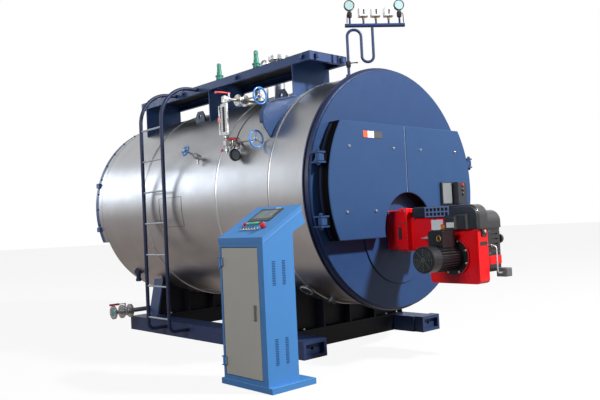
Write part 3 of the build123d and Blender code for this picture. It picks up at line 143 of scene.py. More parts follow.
def skin(rings, closed=False):
    """Rows of outlines joined by quads, with a flat face on each end, or joined into a loop."""
    rings = np.asarray(rings, float)
    index = np.arange(rings.shape[0] * rings.shape[1]).reshape(rings.shape[:2])
    first = index if closed else index[:-1]
    after = np.roll(index, -1, 0) if closed else index[1:]
    quads = np.stack([first, np.roll(first, -1, 1), np.roll(after, -1, 1), after], -1).reshape(-1, 4)
    points = rings.reshape(-1, 3)
    middle = points.mean(0)
    a, b, c, d = (points[quads[:, k]] - middle for k in range(4))
    inside = np.einsum("ij,ij->", a, np.cross(b, c) + np.cross(c, d))
    ends = [] if closed else [index[0][::-1], index[-1]]
    if inside < 0:
        quads = quads[:, ::-1]
        ends = [end[::-1] for end in ends]
    return points, quads.tolist() + [end.tolist() for end in ends]


def loft(layers, place):
    """Flat outlines at given heights, stacked along the outward direction of a place."""
    rings = [outline @ place[:2] + height * place[2] + place[3] for outline, height in layers]
    return skin(rings)


def lathe(profile, spot, out, count=32, side=None):
    """A profile of radius and height pairs, turned about the outward direction."""
    return loft([(circle(radius, count), height) for radius, height in profile], basis(spot, out, side))


def slab(size, spot, out, depth, edge=0.001, side=None):
    """A rounded rectangle with depth, its two faces drawn in a little so that the edges are soft."""
    outline = rounded(*size)
    small = outline * (1 - edge / np.abs(outline).max(0))
    layers = [(small, 0), (outline, edge), (outline, depth - edge), (small, depth)]
    return loft(layers, basis(spot, out, side))


def bar(path, radius, count=12, side=(0, 0, 1), closed=False):
    """A circle carried along a path, kept square to it by the given side direction."""
    path = np.asarray(path, float)
    along = np.roll(path, -1, 0) - np.roll(path, 1, 0) if closed else np.gradient(path, axis=0)
    along /= np.linalg.norm(along, axis=1)[:, None]
    across = np.cross(along, side)
    across /= np.linalg.norm(across, axis=1)[:, None]
    third = np.cross(along, across)
    ring = circle(1.0, count)
    width = np.broadcast_to(np.asarray(radius, float), (len(path),))[:, None, None]
    rings = path[:, None] + width * (ring[:, :1] * across[:, None] + ring[:, 1:] * third[:, None])
    return skin(rings, closed)


def strip(path, across, normal, width, depth):
    """A flat strip of metal carried along a path, with its width across and its depth outward."""
    path, across, normal = (np.asarray(v, float) for v in (path, across, normal))
    half, rise = across * width / 2, normal * depth
    return skin(np.stack([path - half, path + half, path + half + rise, path - half + rise], 1))


def flow(points, count=40):
    """A smooth curve through the points: a cubic between each two, its slope from its neighbours."""
    points = np.asarray(points, float)
    slope = np.gradient(points, axis=0)
    at = np.linspace(0, len(points) - 1, count)
    k = np.minimum(at.astype(int), len(points) - 2)
    t = (at - k)[:, None]
    start, end = points[k], points[k + 1]
    return ((2 * t**3 - 3 * t**2 + 1) * start + (t**3 - 2 * t**2 + t) * slope[k]
            + (3 * t**2 - 2 * t**3) * end + (t**3 - t**2) * slope[k + 1])


def repeated(faces, step, count):
    """The faces of a shape for each of its copies, whose points follow one another."""
    return [[v + step * k for v in face] for k in range(count) for face in faces]


def copies(part, moves):
    """The same shape at many places, as one shape."""
    points, faces = part
    moves = np.asarray(moves, float)
    return (moves[:, None] + points).reshape(-1, 3), repeated(faces, len(points), len(moves))


def bolt(origin, out, size=0.012, shank=0.35):
    """A washer, a hexagon head a little rounded on top, and the end of the thread."""
    washer, shoulder, thread, tip = (circle(size * share, 12) for share in (1.15, 0.84, 0.5, 0.4))
    layers = [(washer, 0), (washer, 0.18), (hexagon(size), 0.2), (hexagon(size), 0.72), (shoulder, 0.86),
              (thread, 0.88), (thread, 0.88 + shank), (tip, 0.95 + shank)]
    return loft([(outline, height * size) for outline, height in layers], basis(origin, out))


def bolts(places, out, size=0.012):
    """The same bolt at each place."""
    return copies(bolt((0, 0, 0), out, size), list(places))


def bolt_circle(center, radius, count, out, size, start=0.3):
    """The same bolt at equal angles on a circle about a centre."""
    place = basis(center, out)
    angle = start + turns(count)[:, None]
    return bolts(radius * (np.cos(angle) * place[0] + np.sin(angle) * place[1]) + place[3], out, size)


def piece(name, parts, finish, body="root"):
    """One mesh object made of the given shapes, with a finish, riding on a body of the frame."""
    points, faces, step = [], [], 0
    for part in parts:
        points.append(part[0])
        faces += [[v + step for v in face] for face in part[1]]
        step += len(part[0])
    mesh = bpy.data.meshes.new(name)
    mesh.from_pydata(np.concatenate(points).tolist(), [], faces)
    mesh.validate()
    mesh.shade_smooth()
    mesh.set_sharp_from_angle(angle=math.radians(35))
    mesh.materials.append(FINISH[finish])
    made = bpy.data.objects.new(name, mesh)
    bpy.context.scene.collection.objects.link(made)
    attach(made, body)


# Finishes

def linear(code):
    """An sRGB hex colour, or a linear one from the settings, as the linear values that shaders take."""
    if not isinstance(code, str):
        return tuple(code) + (1.0,)
    parts = [int(code[k:k + 2], 16) / 255 for k in (1, 3, 5)]
    return tuple(c / 12.92 if c <= 0.04045 else ((c + 0.055) / 1.055) ** 2.4 for c in parts) + (1.0,)


def feed(tree, socket, value):
    """Gives a socket a value, or a link from another socket."""
    if isinstance(value, bpy.types.NodeSocket):
        tree.links.new(value, socket)
    else:
        socket.default_value = value


def add(tree, kind, inputs=None, **settings):
    """Adds a node, sets its properties, and gives each input a value or a link."""
    made = tree.nodes.new(kind)
    for name, value in settings.items():
        setattr(made, name, value)
    for name, value in (inputs or {}).items():
        feed(tree, made.inputs[name], value)
    return made


def start_material(name):
    """An empty material and its node tree."""
    material = bpy.data.materials.new(name)
    material.use_nodes = True
    material.node_tree.nodes.clear()
    return material, material.node_tree


def finished(material, inputs):
    """The material, ended by a principled shader with the given inputs."""
    shader = add(material.node_tree, "ShaderNodeBsdfPrincipled", inputs)
    add(material.node_tree, "ShaderNodeOutputMaterial", {"Surface": shader.outputs[0]})
    return material


def calc(tree, operation, first, second):
    """The result of a sum, product or comparison of two values."""
    return add(tree, "ShaderNodeMath", {0: first, 1: second}, operation=operation).outputs[0]


def place_pattern(tree, stretch=(1, 1, 1)):
    """Object coordinates in metres, stretched on each axis."""
    where = add(tree, "ShaderNodeTexCoord").outputs["Object"]
    return add(tree, "ShaderNodeMapping", {"Vector": where, "Scale": stretch}).outputs["Vector"]


def noise(tree, millimetres, stretch=(1, 1, 1), detail=3.0, rough=0.55):
    """Soft noise whose blobs are about the given size."""
    inputs = {"Vector": place_pattern(tree, stretch), "Scale": 1000 / millimetres, "Detail": detail,
              "Roughness": rough}
    return add(tree, "ShaderNodeTexNoise", inputs).outputs["Fac"]


def spread(tree, value, low, high, start=0.3, end=0.7):
    """Moves a value between start and end into the range from low to high."""
    inputs = {"Value": value, "From Min": start, "From Max": end, "To Min": low, "To Max": high}
    return add(tree, "ShaderNodeMapRange", inputs).outputs["Result"]


def mixed(tree, factor, first, second):
    """A colour between two others."""
    made = add(tree, "ShaderNodeMix", data_type="RGBA")
    for socket, value in zip([s for s in made.inputs if s.enabled], (factor, first, second)):
        feed(tree, socket, value)
    return [s for s in made.outputs if s.enabled][0]


def bumped(tree, height, millimetres, strength=1.0, under=None):
    """A bump whose full height is the given size."""
    inputs = {"Height": height, "Distance": millimetres / 1000, "Strength": strength}
    if under:
        inputs["Normal"] = under
    return add(tree, "ShaderNodeBump", inputs).outputs["Normal"]


def coated(name, code, worn, rough=0.34, coat=0.5, shine=0.5, peel=3.0, bump=0.06, dust=0.25):
    """Sprayed paint: orange-peel bump, slow change of tone, and a dust that dulls it."""
    material, tree = start_material(name)
    tone = spread(tree, noise(tree, 260, detail=4.0), 0.0, dust)
    return finished(material, {
        "Base Color": mixed(tree, tone, linear(code), linear(worn)),
        "Roughness": spread(tree, noise(tree, 60, detail=5.0), rough - 0.05, rough + 0.08),
        "Normal": bumped(tree, noise(tree, peel, detail=1.0), bump),
        "Specular IOR Level": shine, "Coat Weight": coat, "Coat Roughness": 0.12})


def rolled_steel(name, code, dark, rough=0.27, grain=(0.4, 40, 0.4), wave=0.9):
    """Stainless sheet: fine grain round the shell, soft dents between fixings, faint stains."""
    material, tree = start_material(name)
    hair = noise(tree, 45, grain, detail=6.0, rough=0.7)
    stain = noise(tree, 420, detail=5.0)
    sheet = bumped(tree, noise(tree, 330, detail=1.5), 2.6 * wave, 0.35)
    dull = calc(tree, "ADD", spread(tree, hair, rough - 0.05, rough + 0.06), spread(tree, stain, -0.02, 0.05))
    return finished(material, {
        "Base Color": mixed(tree, spread(tree, stain, 0.0, 0.35), linear(code), linear(dark)),
        "Metallic": 1.0, "Roughness": dull, "Normal": bumped(tree, hair, 0.05, 0.6, under=sheet)})


def moulded(name, code, worn, rough=0.45, bump=0.05):
    """Moulded plastic: a fine pebbled grain and a slight change of tone."""
    return coated(name, code, worn, rough, coat=0.0, peel=1.5, bump=bump, dust=0.4)


def bare_metal(name, code, dark, rough=0.32):
    """Turned or cast metal, with small stains and a fine tool grain."""
    return rolled_steel(name, code, dark, rough, grain=(2, 2, 2), wave=0.05)


def glassy(name, code, rough=0.06):
    """A clear cover over a dark display or a dial."""
    material, tree = start_material(name)
    shade = mixed(tree, spread(tree, noise(tree, 90), 0.0, 0.3), linear(code), linear("#8fa3ad"))
    return finished(material, {
        "Base Color": shade, "Roughness": rough, "Coat Weight": 0.3, "Coat Roughness": 0.1})


def fields(name, zones):
    """Plain colour fields side by side along X, each up to its edge, under a thin clear coat."""
    material, tree = start_material(name)
    across = add(tree, "ShaderNodeSeparateXYZ", {0: place_pattern(tree)}).outputs["X"]
    colour = linear(zones[-1][0])
    for code, edge in reversed(zones[:-1]):
        colour = mixed(tree, calc(tree, "LESS_THAN", across, edge), colour, linear(code))
    return finished(material, {"Base Color": colour, "Roughness": 0.4, "Coat Weight": 0.3})


def within(tree, low, high):
    """1 inside a box given by two corners in metres, else 0; None leaves a side open."""
    axes = add(tree, "ShaderNodeSeparateXYZ", {0: place_pattern(tree)})
    mask = None
    for axis, bottom, top in zip("XYZ", low, high):
        for limit, kind in ((bottom, "GREATER_THAN"), (top, "LESS_THAN")):
            if limit is not None:
                test = calc(tree, kind, axes.outputs[axis], limit)
                mask = test if mask is None else calc(tree, "MULTIPLY", mask, test)
    return mask


def two_tone(name, outer, inner, low, high, metals=(0.0, 0.0), roughs=(0.45, 0.6), shines=(0.3, 0.05)):
    """One finish, and a second one inside a box: colours, metal, roughness and shine in pairs."""
    material, tree = start_material(name)
    mask = within(tree, low, high)
    change = spread(tree, noise(tree, 240, detail=4.0), 0.0, 0.25)
    first, second = (mixed(tree, change, linear(fresh), linear(worn)) for fresh, worn in (outer, inner))
    metal, rough, shine = (spread(tree, mask, *pair, 0, 1) for pair in (metals, roughs, shines))
    return finished(material, {
        "Base Color": mixed(tree, mask, first, second), "Metallic": metal, "Roughness": rough,
        "Specular IOR Level": shine, "Normal": bumped(tree, noise(tree, 3.0, detail=1.0), 0.06)})


def make_finishes(chosen):
    """All the finishes, by the name that the pieces use; the chosen settings hold the main colours."""
    anywhere = (None, None, None)
    return {
        # Rolled stainless sheet over the insulation: bright bands with a soft grain.
        "cladding": rolled_steel("rolled_stainless", chosen.sheet_tone, "#8f8f91", 0.32),
        # Smooth blue enamel on the front plate.
        "blue": coated("blue_enamel", chosen.plate_blue, "#2b4b7a", 0.42, 0.04, 0.3),
        # The same on the doors, whose edges and backs are near black.
        "door_blue": two_tone("door_enamel", (chosen.door_blue, "#325482"), ("#050506", "#09090b"),
                              (-1.075, DOOR_FACE + 0.006, None), (1.075, None, None)),
        # Navy ladder rails with rungs of bare drawn steel.
        "ladder": two_tone("ladder_enamel", ("#1a2647", "#243054"), ("#b9c0ca", "#9aa3b0"),
                           (None, 1.522, None), (None, 1.928, None), roughs=(0.45, 0.35), shines=(0.3, 0.5)),
        # Grey moulded box with bright braided leads.
        "servo": two_tone("servo_moulding", ("#d3d6d9", "#b0b4b8"), ("#5f6265", "#6c6f72"),
                          (0.105, None, None), (0.22, None, 0.78), metals=(0.6, 0.0), roughs=(0.35, 0.5),
                          shines=(0.5, 0.3)),
        # Green bonnets over plain grey valve bodies.
        "safety": two_tone("valve_enamel", ("#2a8a74", "#3a7a6b"), ("#6f7376", "#7e8285"), anywhere,
                           (None, None, 3.02), roughs=(0.4, 0.45), shines=(0.4, 0.4)),
        # Pale paint on the seam beads and the low cover's ring: a painted highlight.
        "bead": coated("seam_painted_highlight", "#c6cacf", "#b4b9bf", 0.35, 0.2),
        # Blue enamel of the rear cover's bolts and plate, lighter than navy: painted sky light.
        "rear": coated("cover_enamel", "#34538a", "#3e5d92", 0.4, 0.1, 0.4),
        # Teal blank in the mouth of the blow-down valve.
        "teal": coated("teal_enamel", "#2f9fb2", "#3c8fa0", 0.4, 0.2),
        # Blue enamel of the walkway frame, a shade lighter than the ladder.
        "walk": coated("walkway_enamel", "#2a4272", "#364f7e", 0.45, 0.08, 0.3),
        # Dull dark paint underfoot on the deck.
        "deck": coated("deck_paint", "#19191c", "#232327", 0.6, 0.0, 0.3),
        # Cast valve bodies, brownish where the plating has gone.
        "valve": bare_metal("cast_valve", "#a9a69f", "#6a645b", 0.34),
        # Blue-grey enamel of the skid, dulled by handling.
        "skid": coated("skid_enamel", "#23345a", "#314468", 0.5, 0.05, 0.3),
        # Painted light and shade on the saddles and cross members: nearly black where they lie in shade, blue
        # on the saddles' outer sides where the light falls.
        "under": two_tone("chassis_lit_and_shaded", ("#0c0f17", "#141822"), ("#2b4068", "#354b73"), anywhere,
                          (-0.745, None, None), roughs=(0.5, 0.5), shines=(0.2, 0.3)),
        # Dark cast fittings under the shell.
        "cast": bare_metal("dark_casting", "#57595d", "#3a3c40", 0.5),
        # Darker blue enamel on the rim and the lugs.
        "navy": coated("navy_enamel", "#1a2647", "#243054", 0.45, 0.05, 0.3),
        # Near-black paint on the smoke box sides, with little shine; the same black draws the thin line round
        # the furnace plate, a painted shade.
        "near_black": coated("heat_black", "#060608", "#0e0f12", 0.6, 0.0, 0.15, bump=0.12),
        # Bright red enamel on the burner castings.
        "red": coated("red_enamel", chosen.burner_red, "#dd0b15", 0.36, 0.12, 0.3),
        # Black moulded cover of the burner, with a soft sheen on its shoulders.
        "black": coated("black_moulding", "#141519", "#1d1e23", 0.36, peel=1.5),
        # Black enamel on the fan motor.
        "motor": coated("motor_enamel", "#131317", "#1f2025", 0.42, 0.2, 0.3, bump=0.1),
        # Plain grey moulding of the socket cover.
        "grey": moulded("grey_moulding", "#7c8082", "#8d9092"),
        # Charcoal moulding of the control boxes, a little lighter than the burner's.
        "dark_grey": moulded("dark_moulding", "#24272e", "#31343b"),
        # Sky blue powder coat of the desk, with painted shade: a darker blue on its left frame, the side that
        # the light misses.
        "desk": two_tone("sky_powder_coat", (chosen.desk_blue, "#4d8bc9"), ("#3a70aa", "#4077b0"), anywhere,
                         (-1.9785, None, None), roughs=(0.5, 0.5), shines=(0.4, 0.4)),
        # Warm grey powder coat of the desk door, with hinges in the desk's blue.
        "door": two_tone("grey_powder_coat", ("#a09f99", "#aaa9a3"), ("#4584c4", "#4d8bc9"),
                         (None, -0.635, None), (-1.9795, None, None), roughs=(0.5, 0.5), shines=(0.3, 0.3)),
        # Sea green enamel on the caps of the safety valves.
        "green": coated("green_enamel", "#2d8a76", "#3f7f70", 0.4, 0.3),
        # Glossy sky blue enamel on the handwheels.
        "wheel": coated("wheel_enamel", chosen.wheel_blue, "#4c97dd", 0.3),
        # Blue enamel on the instrument pipes.
        "pipe": coated("pipe_enamel", "#273a69", "#34466f", 0.4, 0.1, 0.3),
        # Machined steel of valves and flanges, with soft highlights.
        "steel": bare_metal("machined_steel", "#b4b6b8", "#85888b"),
        # Zinc plate, the brightest metal, so that bolt heads show as light dots.
        "bolt": bare_metal("zinc_plate", "#c3c6c8", "#9a9da0", 0.28),
        # Yellow brass of small nuts and the ring on the terminal box.
        "brass": bare_metal("brass", "#c9a44f", "#9b7c38", 0.25),
        # Clean white moulding of cases and the gauge's guard.
        "white": moulded("white_moulding", "#eceeee", "#dfe2e2", 0.35),
        # Flat off-white of blank labels and button rings.
        "label": moulded("blank_label", "#e4e6e6", "#d7dada", 0.5, bump=0.01),
        # Signal red of grips, stops and the switch plate.
        "lever": moulded("red_grip", "#d11c26", "#b7222b", 0.35),
        # Dim grey-green display behind glass.
        "screen": glassy("screen_glass", "#5c6d6c", 0.3),
        # Grey dial face behind sharp glass.
        "dial": glassy("dial_glass", "#6d777a"),
        # Pale cyan faces of the pressure gauges.
        "cyan": glassy("pale_dial", "#bfe0e2"),
        # Green lens that lies over the row of lamps.
        "lamp_green": glassy("green_lens", "#12a378"),
        # Blank plate in three plain fields: orange, white and dark grey.
        "plate": fields("plain_plate", (("#e8603a", -0.539), ("#f1f1ee", -0.452), ("#4a4a4c", None))),
        # Pale blue line where the two doors meet.
        "pale_blue": coated("pale_edge", "#9fb4d4", "#8aa3c9", 0.3),
        # Grey-blue moulding of the hood's grille.
        "ice_blue": coated("ice_blue", "#6d84b0", "#7f94bb", 0.35, 0.4),
        # Greenish dark wire of the motor's cowl.
        "grille": coated("cowl_grille", "#3d453f", "#2c302e", 0.5, 0.0),
        # Amber of the switch's knob, the one warm dot on the burner.
        "amber": moulded("amber_knob", "#f0a81c", "#e29a16", 0.35),
        # Faded pink of the gauge's float and the clip's button.
        "pink": moulded("pink_float", "#f2a9a6", "#e9928f", 0.4),
        # Deep blue of the desk's vents, as if in shadow.
        "desk_dark": coated("vent_blue", "#1b4474", "#173c68", 0.5, 0.0, 0.2),
        # Lighter blue lines along the desk's folds and plinth edges: a painted highlight.
        "edge_highlight": coated("edge_highlight_paint", "#6aa6dc", "#5f9cd4", 0.45, 0.0),
        # Dull black rubber and painted marks.
        "rubber": moulded("rubber", "#151517", "#202022", 0.7),
    }


NODE_FINISHES = {
    "cladding": ("shell_cladding", "rear_plate", "rear_smoke_box", "steam_outlet"),
    "navy": ("front_rim", "lifting_lugs"),
    "blue": ("front_plate", "hinge_brackets", "furnace_plate", "walkway_supports"),
    "near_black": ("smoke_box_frame",), "door_blue": ("smoke_door_left", "smoke_door_right"),
    "dark_grey": ("door_control_boxes",), "red": ("burner_flange", "burner_head", "burner_fan_casing"),
    "black": ("burner_cover", "burner_rear_box", "pressure_gauges", "desk_controls"),
    "servo": ("burner_servo_box",), "motor": ("burner_motor",), "rear": ("rear_cover",),
    "skid": ("skid_beams",), "under": ("skid_cross_members", "saddles"), "walk": ("walkway_frame",),
    "deck": ("walkway_deck",), "ladder": ("ladder",), "safety": ("safety_valves",),
    "white": ("level_gauge", "pressure_switches"), "valve": ("gauge_pipes",),
    "wheel": ("handwheel_upper", "handwheel_lower", "handwheel_side"),
    "steel": ("side_valve", "blowdown_line"), "pipe": ("siphon_pipe", "manifold"),
    "cast": ("shell_fittings",), "desk": ("desk_body", "desk_plinth"), "door": ("desk_door",),
}

# The material of each finish, by name, once the finishes step has made them.
FINISH = {}


def tint(name, description, code):
    """A colour property with an sRGB hex colour as its default."""
    return bpy.props.FloatVectorProperty(
        name=name, description=description, default=linear(code)[:3], subtype="COLOR", min=0.0, max=1.0)


class BoilerSettings(bpy.types.PropertyGroup):
    """Sizes, colours and lamp powers that a user may change."""

    plate_blue: tint("Plate blue", "Enamel of the front plate and its brackets", "#213f6c")
    door_blue: tint("Door blue", "Enamel of the two smoke box doors", "#274773")
    burner_red: tint("Burner red", "Enamel of the burner castings", "#ee0c16")
    desk_blue: tint("Desk blue", "Powder coat of the control desk", "#4584c4")
    sheet_tone: tint("Sheet tone", "Tone of the stainless cladding", "#b8babd")
    wheel_blue: tint("Wheel blue", "Enamel of the handwheels", "#3a8fe0")

    bolt_size: bpy.props.FloatProperty(
        name="Bolt size", description="Half width of the bolt heads on flanges and doors", default=0.012,
        unit="LENGTH", min=0.004, max=0.03)
    key_power: bpy.props.FloatProperty(
        name="Key light", description="Power of the lamp in front and above", default=2250.0,
        unit="POWER", min=0.0)
    side_power: bpy.props.FloatProperty(
        name="Side light", description="Power of the lamp on the left", default=740.0, unit="POWER", min=0.0)
    rear_power: bpy.props.FloatProperty(
        name="Rear light", description="Power of the lamp that the cladding reflects", default=225.0,
        unit="POWER", min=0.0)
    fill: bpy.props.FloatProperty(
        name="Fill", description="Strength of the even light from all round", default=0.05, min=0.0, max=1.0,
        subtype="FACTOR")


class BOILER_OT_finishes(bpy.types.Operator):
    """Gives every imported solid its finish"""

    bl_idname = "boiler.finishes"
    bl_label = "Finishes"

    def execute(self, context):
        FINISH.update(make_finishes(context.scene.boiler))
        for finish, nodes in NODE_FINISHES.items():
            for node in nodes:
                for slot in frame["nodes"][node].material_slots:
                    slot.material = FINISH[finish]
        return {"FINISHED"}


class BOILER_OT_front(bpy.types.Operator):
    """Adds the bolts, the bare plate and the trim of the front"""

    bl_idname = "boiler.front"
    bl_label = "Front fittings"

    def execute(self, context):
        size = context.scene.boiler.bolt_size
        spots = {"left": ((-0.790, 1.894), (-0.183, 1.898), (-0.854, 1.313), (-0.473, 1.314)),
                 "right": ((0.226, 1.898), (0.801, 1.897))}
        for name, places in spots.items():
            heads = bolts([(x, DOOR_FACE, z) for x, z in places], FRONT, size)
            piece(f"door_bolts_{name}", [heads], "bolt", body=f"door_{name}")
        seam = [(-0.006, DOOR_FACE - 0.0005, z) for z in np.linspace(1.482, 2.116, 12)]
        piece("door_seam", [bar(seam, 0.0022, 8, ACROSS)], "pale_blue", body="door_left")
        plate = slab((0.263, 0.062, 0.004), (-0.4675, DOOR_FACE, 2.012), FRONT, 0.003)
        piece("door_plate", [plate], "plate", body="door_left")
        for side, name in ((-1, "left"), (1, "right")):
            out = arc(np.linspace(math.radians(-24.5), math.radians(32.0), 60), (0, 0, 0), side, 1)
            band = strip(out * BAND_RADIUS + [0, -0.834, AXIS_Z], FRONT, out, 0.02, 0.004)
            piece(f"frame_band_{name}", [band], "navy")
            nuts = [bolt((side * HINGE_X, HINGE_Y, z + end * 0.057), UP * end, 0.016, 0.1)
                    for z, end in product((1.240, 1.792), (1, -1))]
            piece(f"hinge_nuts_{name}", nuts, "pipe")
        # A weld round the front plate's edge in blue, and a thin near-black line round the lower furnace
        # plate: painted shade of its edge.
        lower = np.radians(np.linspace(187, 353, 90))
        welds_and_shade_line = (("plate_weld", turns(180), 1.1495, PLATE + 0.0215, AXIS_Z, "blue"),
                 ("ring_shade_line", lower, 0.512, PLATE - 0.001, 1.125, "near_black"))
        for name, turn, radius, y, z, finish in welds_and_shade_line:
            ripple = 0.0045 + 0.0009 * np.sin(turn * 420)
            arc_bar = bar(arc(turn, (0, y, z), radius, radius), ripple, 8, ALONG, closed=name == "plate_weld")
            piece(name, [arc_bar], finish)
        knobs = [lathe([(0.016, 0), (0.016, 0.004), (0.012, 0.005), (0.012, 0.012), (0.009, 0.014)],
                       (0.781, -1.025, z), FRONT, 24) for z in (1.545, 1.500, 1.455)]
        piece("box_buttons", knobs[1:], "black", body="door_right")
        piece("box_stop", knobs[:1], "lever", body="door_right")
        x, y, z = SOCKET_COVER
        cover = slab((0.150, 0.206, 0.006), SOCKET_COVER, FRONT, 0.004)
        screws = bolts(product((x - 0.062, x + 0.062), (y - 0.004,), (z - 0.09, z + 0.09)), FRONT, 0.004)
        piece("socket_cover", [cover, screws], "grey", body="door_right")
        return {"FINISHED"}


class BOILER_OT_burner(bpy.types.Operator):
    """Adds the plates, screws, grille and rings of the burner"""

    bl_idname = "boiler.burner"
    bl_label = "Burner fittings"

    def execute(self, context):
        side = [*product((-0.186,), (-0.84, -0.93), (0.965, 1.285)),
                *product((RIM_X,), (-0.985, -1.04), (0.95, 1.06, 1.19, 1.30)),
                *product((NECK_X,), (-1.10, -1.33), (0.95, 1.215))]
        top = product((-0.16, 0.16), (-0.985, -1.035), (1.325,))
        piece("burner_screws", [bolts(side, LEFT, 0.008), bolts(top, UP, 0.009)], "cast")
        y, z, depth = -0.982, 1.098, 0.014
        latch = [slab((0.030, 0.112, 0.007), (RIM_X, y, z), LEFT, depth),
                 slab((0.012, 0.09, 0.004), (RIM_X - depth, y, z), LEFT, 0.006)]
        piece("burner_latch", latch, "dark_grey")
        labels = [slab((0.126, 0.121, 0.003), (NECK_X, -1.3525, 1.148), LEFT, *LABEL),
                  slab((0.080, 0.046, 0.003), (-0.205, -1.538, 1.158), LEFT, *LABEL)]
        piece("burner_labels", labels, "label")
        piece("switch_plate", [slab((0.056, 0.056, 0.004), (-0.1362, *SWITCH), LEFT, 0.010)], "lever")
        dial = [lathe([(0.019, 0), (0.019, 0.004), (0.015, 0.006), (0.0148, 0.016), (0.012, 0.018)],
                      (-0.145, *SWITCH), LEFT, 28),
                slab((0.007, 0.03, 0.003), (-0.163, *SWITCH), LEFT, 0.008)]
        piece("switch_dial", dial, "amber")
        grille = [slab((0.262, 0.012, 0.002), (HOOD_X, -1.377, z), LEFT, 0.003)
                  for z in (1.239, 1.279, 1.319)]
        grille += [slab((0.012, 0.092, 0.002), (HOOD_X, y, 1.279), LEFT, 0.0035)
                   for y in np.linspace(-1.254, -1.500, 7)]
        piece("cover_grille", grille, "ice_blue")
        rings = [arc(turns(64), (COWL_X - 0.003, *MOTOR), radius, radius, 0)
                 for radius in (0.024, 0.040, 0.056, 0.072, 0.088)]
        cowl = [bar(ring, 0.0028, 8, ACROSS, closed=True) for ring in rings]
        for turn in turns(8):
            spoke = np.linspace(0.018, 0.097, 5)[:, None] * [0, math.cos(turn), math.sin(turn)]
            cowl.append(bar(spoke + [COWL_X - 0.004, *MOTOR], 0.003, 8, ACROSS))
        cowl.append(lathe([(0.018, 0), (0.018, 0.006), (0.014, 0.009)], (COWL_X, *MOTOR), LEFT, 24))
        piece("cowl_grille", cowl, "grille")
        fins = []
        for out in arc(turns(30), (0, 0, 0), 1, 1, 0):
            path = out * 0.1055 + [(-0.464, *MOTOR), (-0.19, *MOTOR)]
            fins.append(strip(path, np.cross(ACROSS, out), out, 0.0032, 0.0105))
        piece("motor_fins", fins, "motor")
        flange = (-0.168, *MOTOR)
        ring = lathe([(0.1655, -0.006), (0.1655, 0.001), (0.158, 0.002), (0.158, -0.002)], flange, LEFT, 96)
        piece("flange_edge", [ring], "red")
        piece("motor_bolts", [bolt_circle(flange, 0.143, 8, LEFT, 0.009, 0.4)], "bolt")
        eye = bar(arc(turns(40), (-0.4115, -1.560, 1.050), 0.019, 0.024, 0), 0.0048, 10, ACROSS, closed=True)
        piece("terminal_ring", [eye], "brass")
        glands = [lathe([(0.012, 0), (0.012, 0.010), (0.009, 0.012), (0.009, 0.022)], spot, out, 20)
                  for spot, out in (((-0.245, -1.447, 1.05), ALONG), ((NECK_X, -1.23, 1.05), LEFT),
                                    ((0.04, FAN_Y, 0.965), FRONT), ((0.110, -1.83, 0.728), LEFT))]
        piece("glands", glands, "steel")
        x, y, z, depth = -0.318, MOTOR[0], 1.114, 0.006
        lid = slab((0.15, 0.12, 0.01), (x, y, z), UP, depth)
        screws = bolts(product((x - 0.06, x + 0.06), (y - 0.045, y + 0.045), (z + depth,)), UP, 0.005)
        piece("terminal_lid", [lid, screws], "motor")
        x, z = -0.062, 1.083
        clip = [slab((0.078, 0.062, 0.006), (x, FAN_Y, z), FRONT, 0.010),
                slab((0.052, 0.032, 0.004), (x, FAN_Y - 0.010, z), FRONT, 0.005)]
        piece("fan_clip", clip, "black")
        spot = (x, FAN_Y - 0.015, z + 0.009)
        button = lathe([(0.014, 0), (0.014, 0.004), (0.010, 0.007)], spot, FRONT, 24)
        piece("fan_clip_button", [button], "pink")
        piece("fan_plate", [slab((0.106, 0.034, 0.003), (-0.068, FAN_Y, 0.989), FRONT, 0.0025)], "black")
        x, y, band_z = -0.1515, -1.752, 0.838
        rib = strip([(x, y, 1.10), (x, y, 0.70)], ALONG, LEFT, 0.006, 0.003)
        piece("fan_rib", [rib], "red")
        band = [slab((0.200, 0.075, 0.004), (0.100, FAN_Y, band_z), FRONT, 0.0025),
                slab((0.34, 0.075, 0.004), (0.200, -1.60, band_z), ACROSS, 0.0025)]
        piece("air_band", band, "red")
        pins = bolts(product((0.02, 0.18), (FAN_Y,), (0.90, 1.09)), FRONT, 0.006)
        piece("air_screws", [pins], "bolt")
        return {"FINISHED"}


def on_slope(run, cross, lift=0.0):
    """A point on the desk's top: run up from its front edge, cross from its middle, lift above it."""
    return np.array((-1.979, -0.8575 + cross, 1.149)) + run * UPHILL + lift * SLOPE


def knob(profile, run, cross, lift=0.0, count=20):
    """A turned knob that stands square on the desk's top."""
    return lathe(profile, on_slope(run, cross, lift), SLOPE, count, UPHILL)


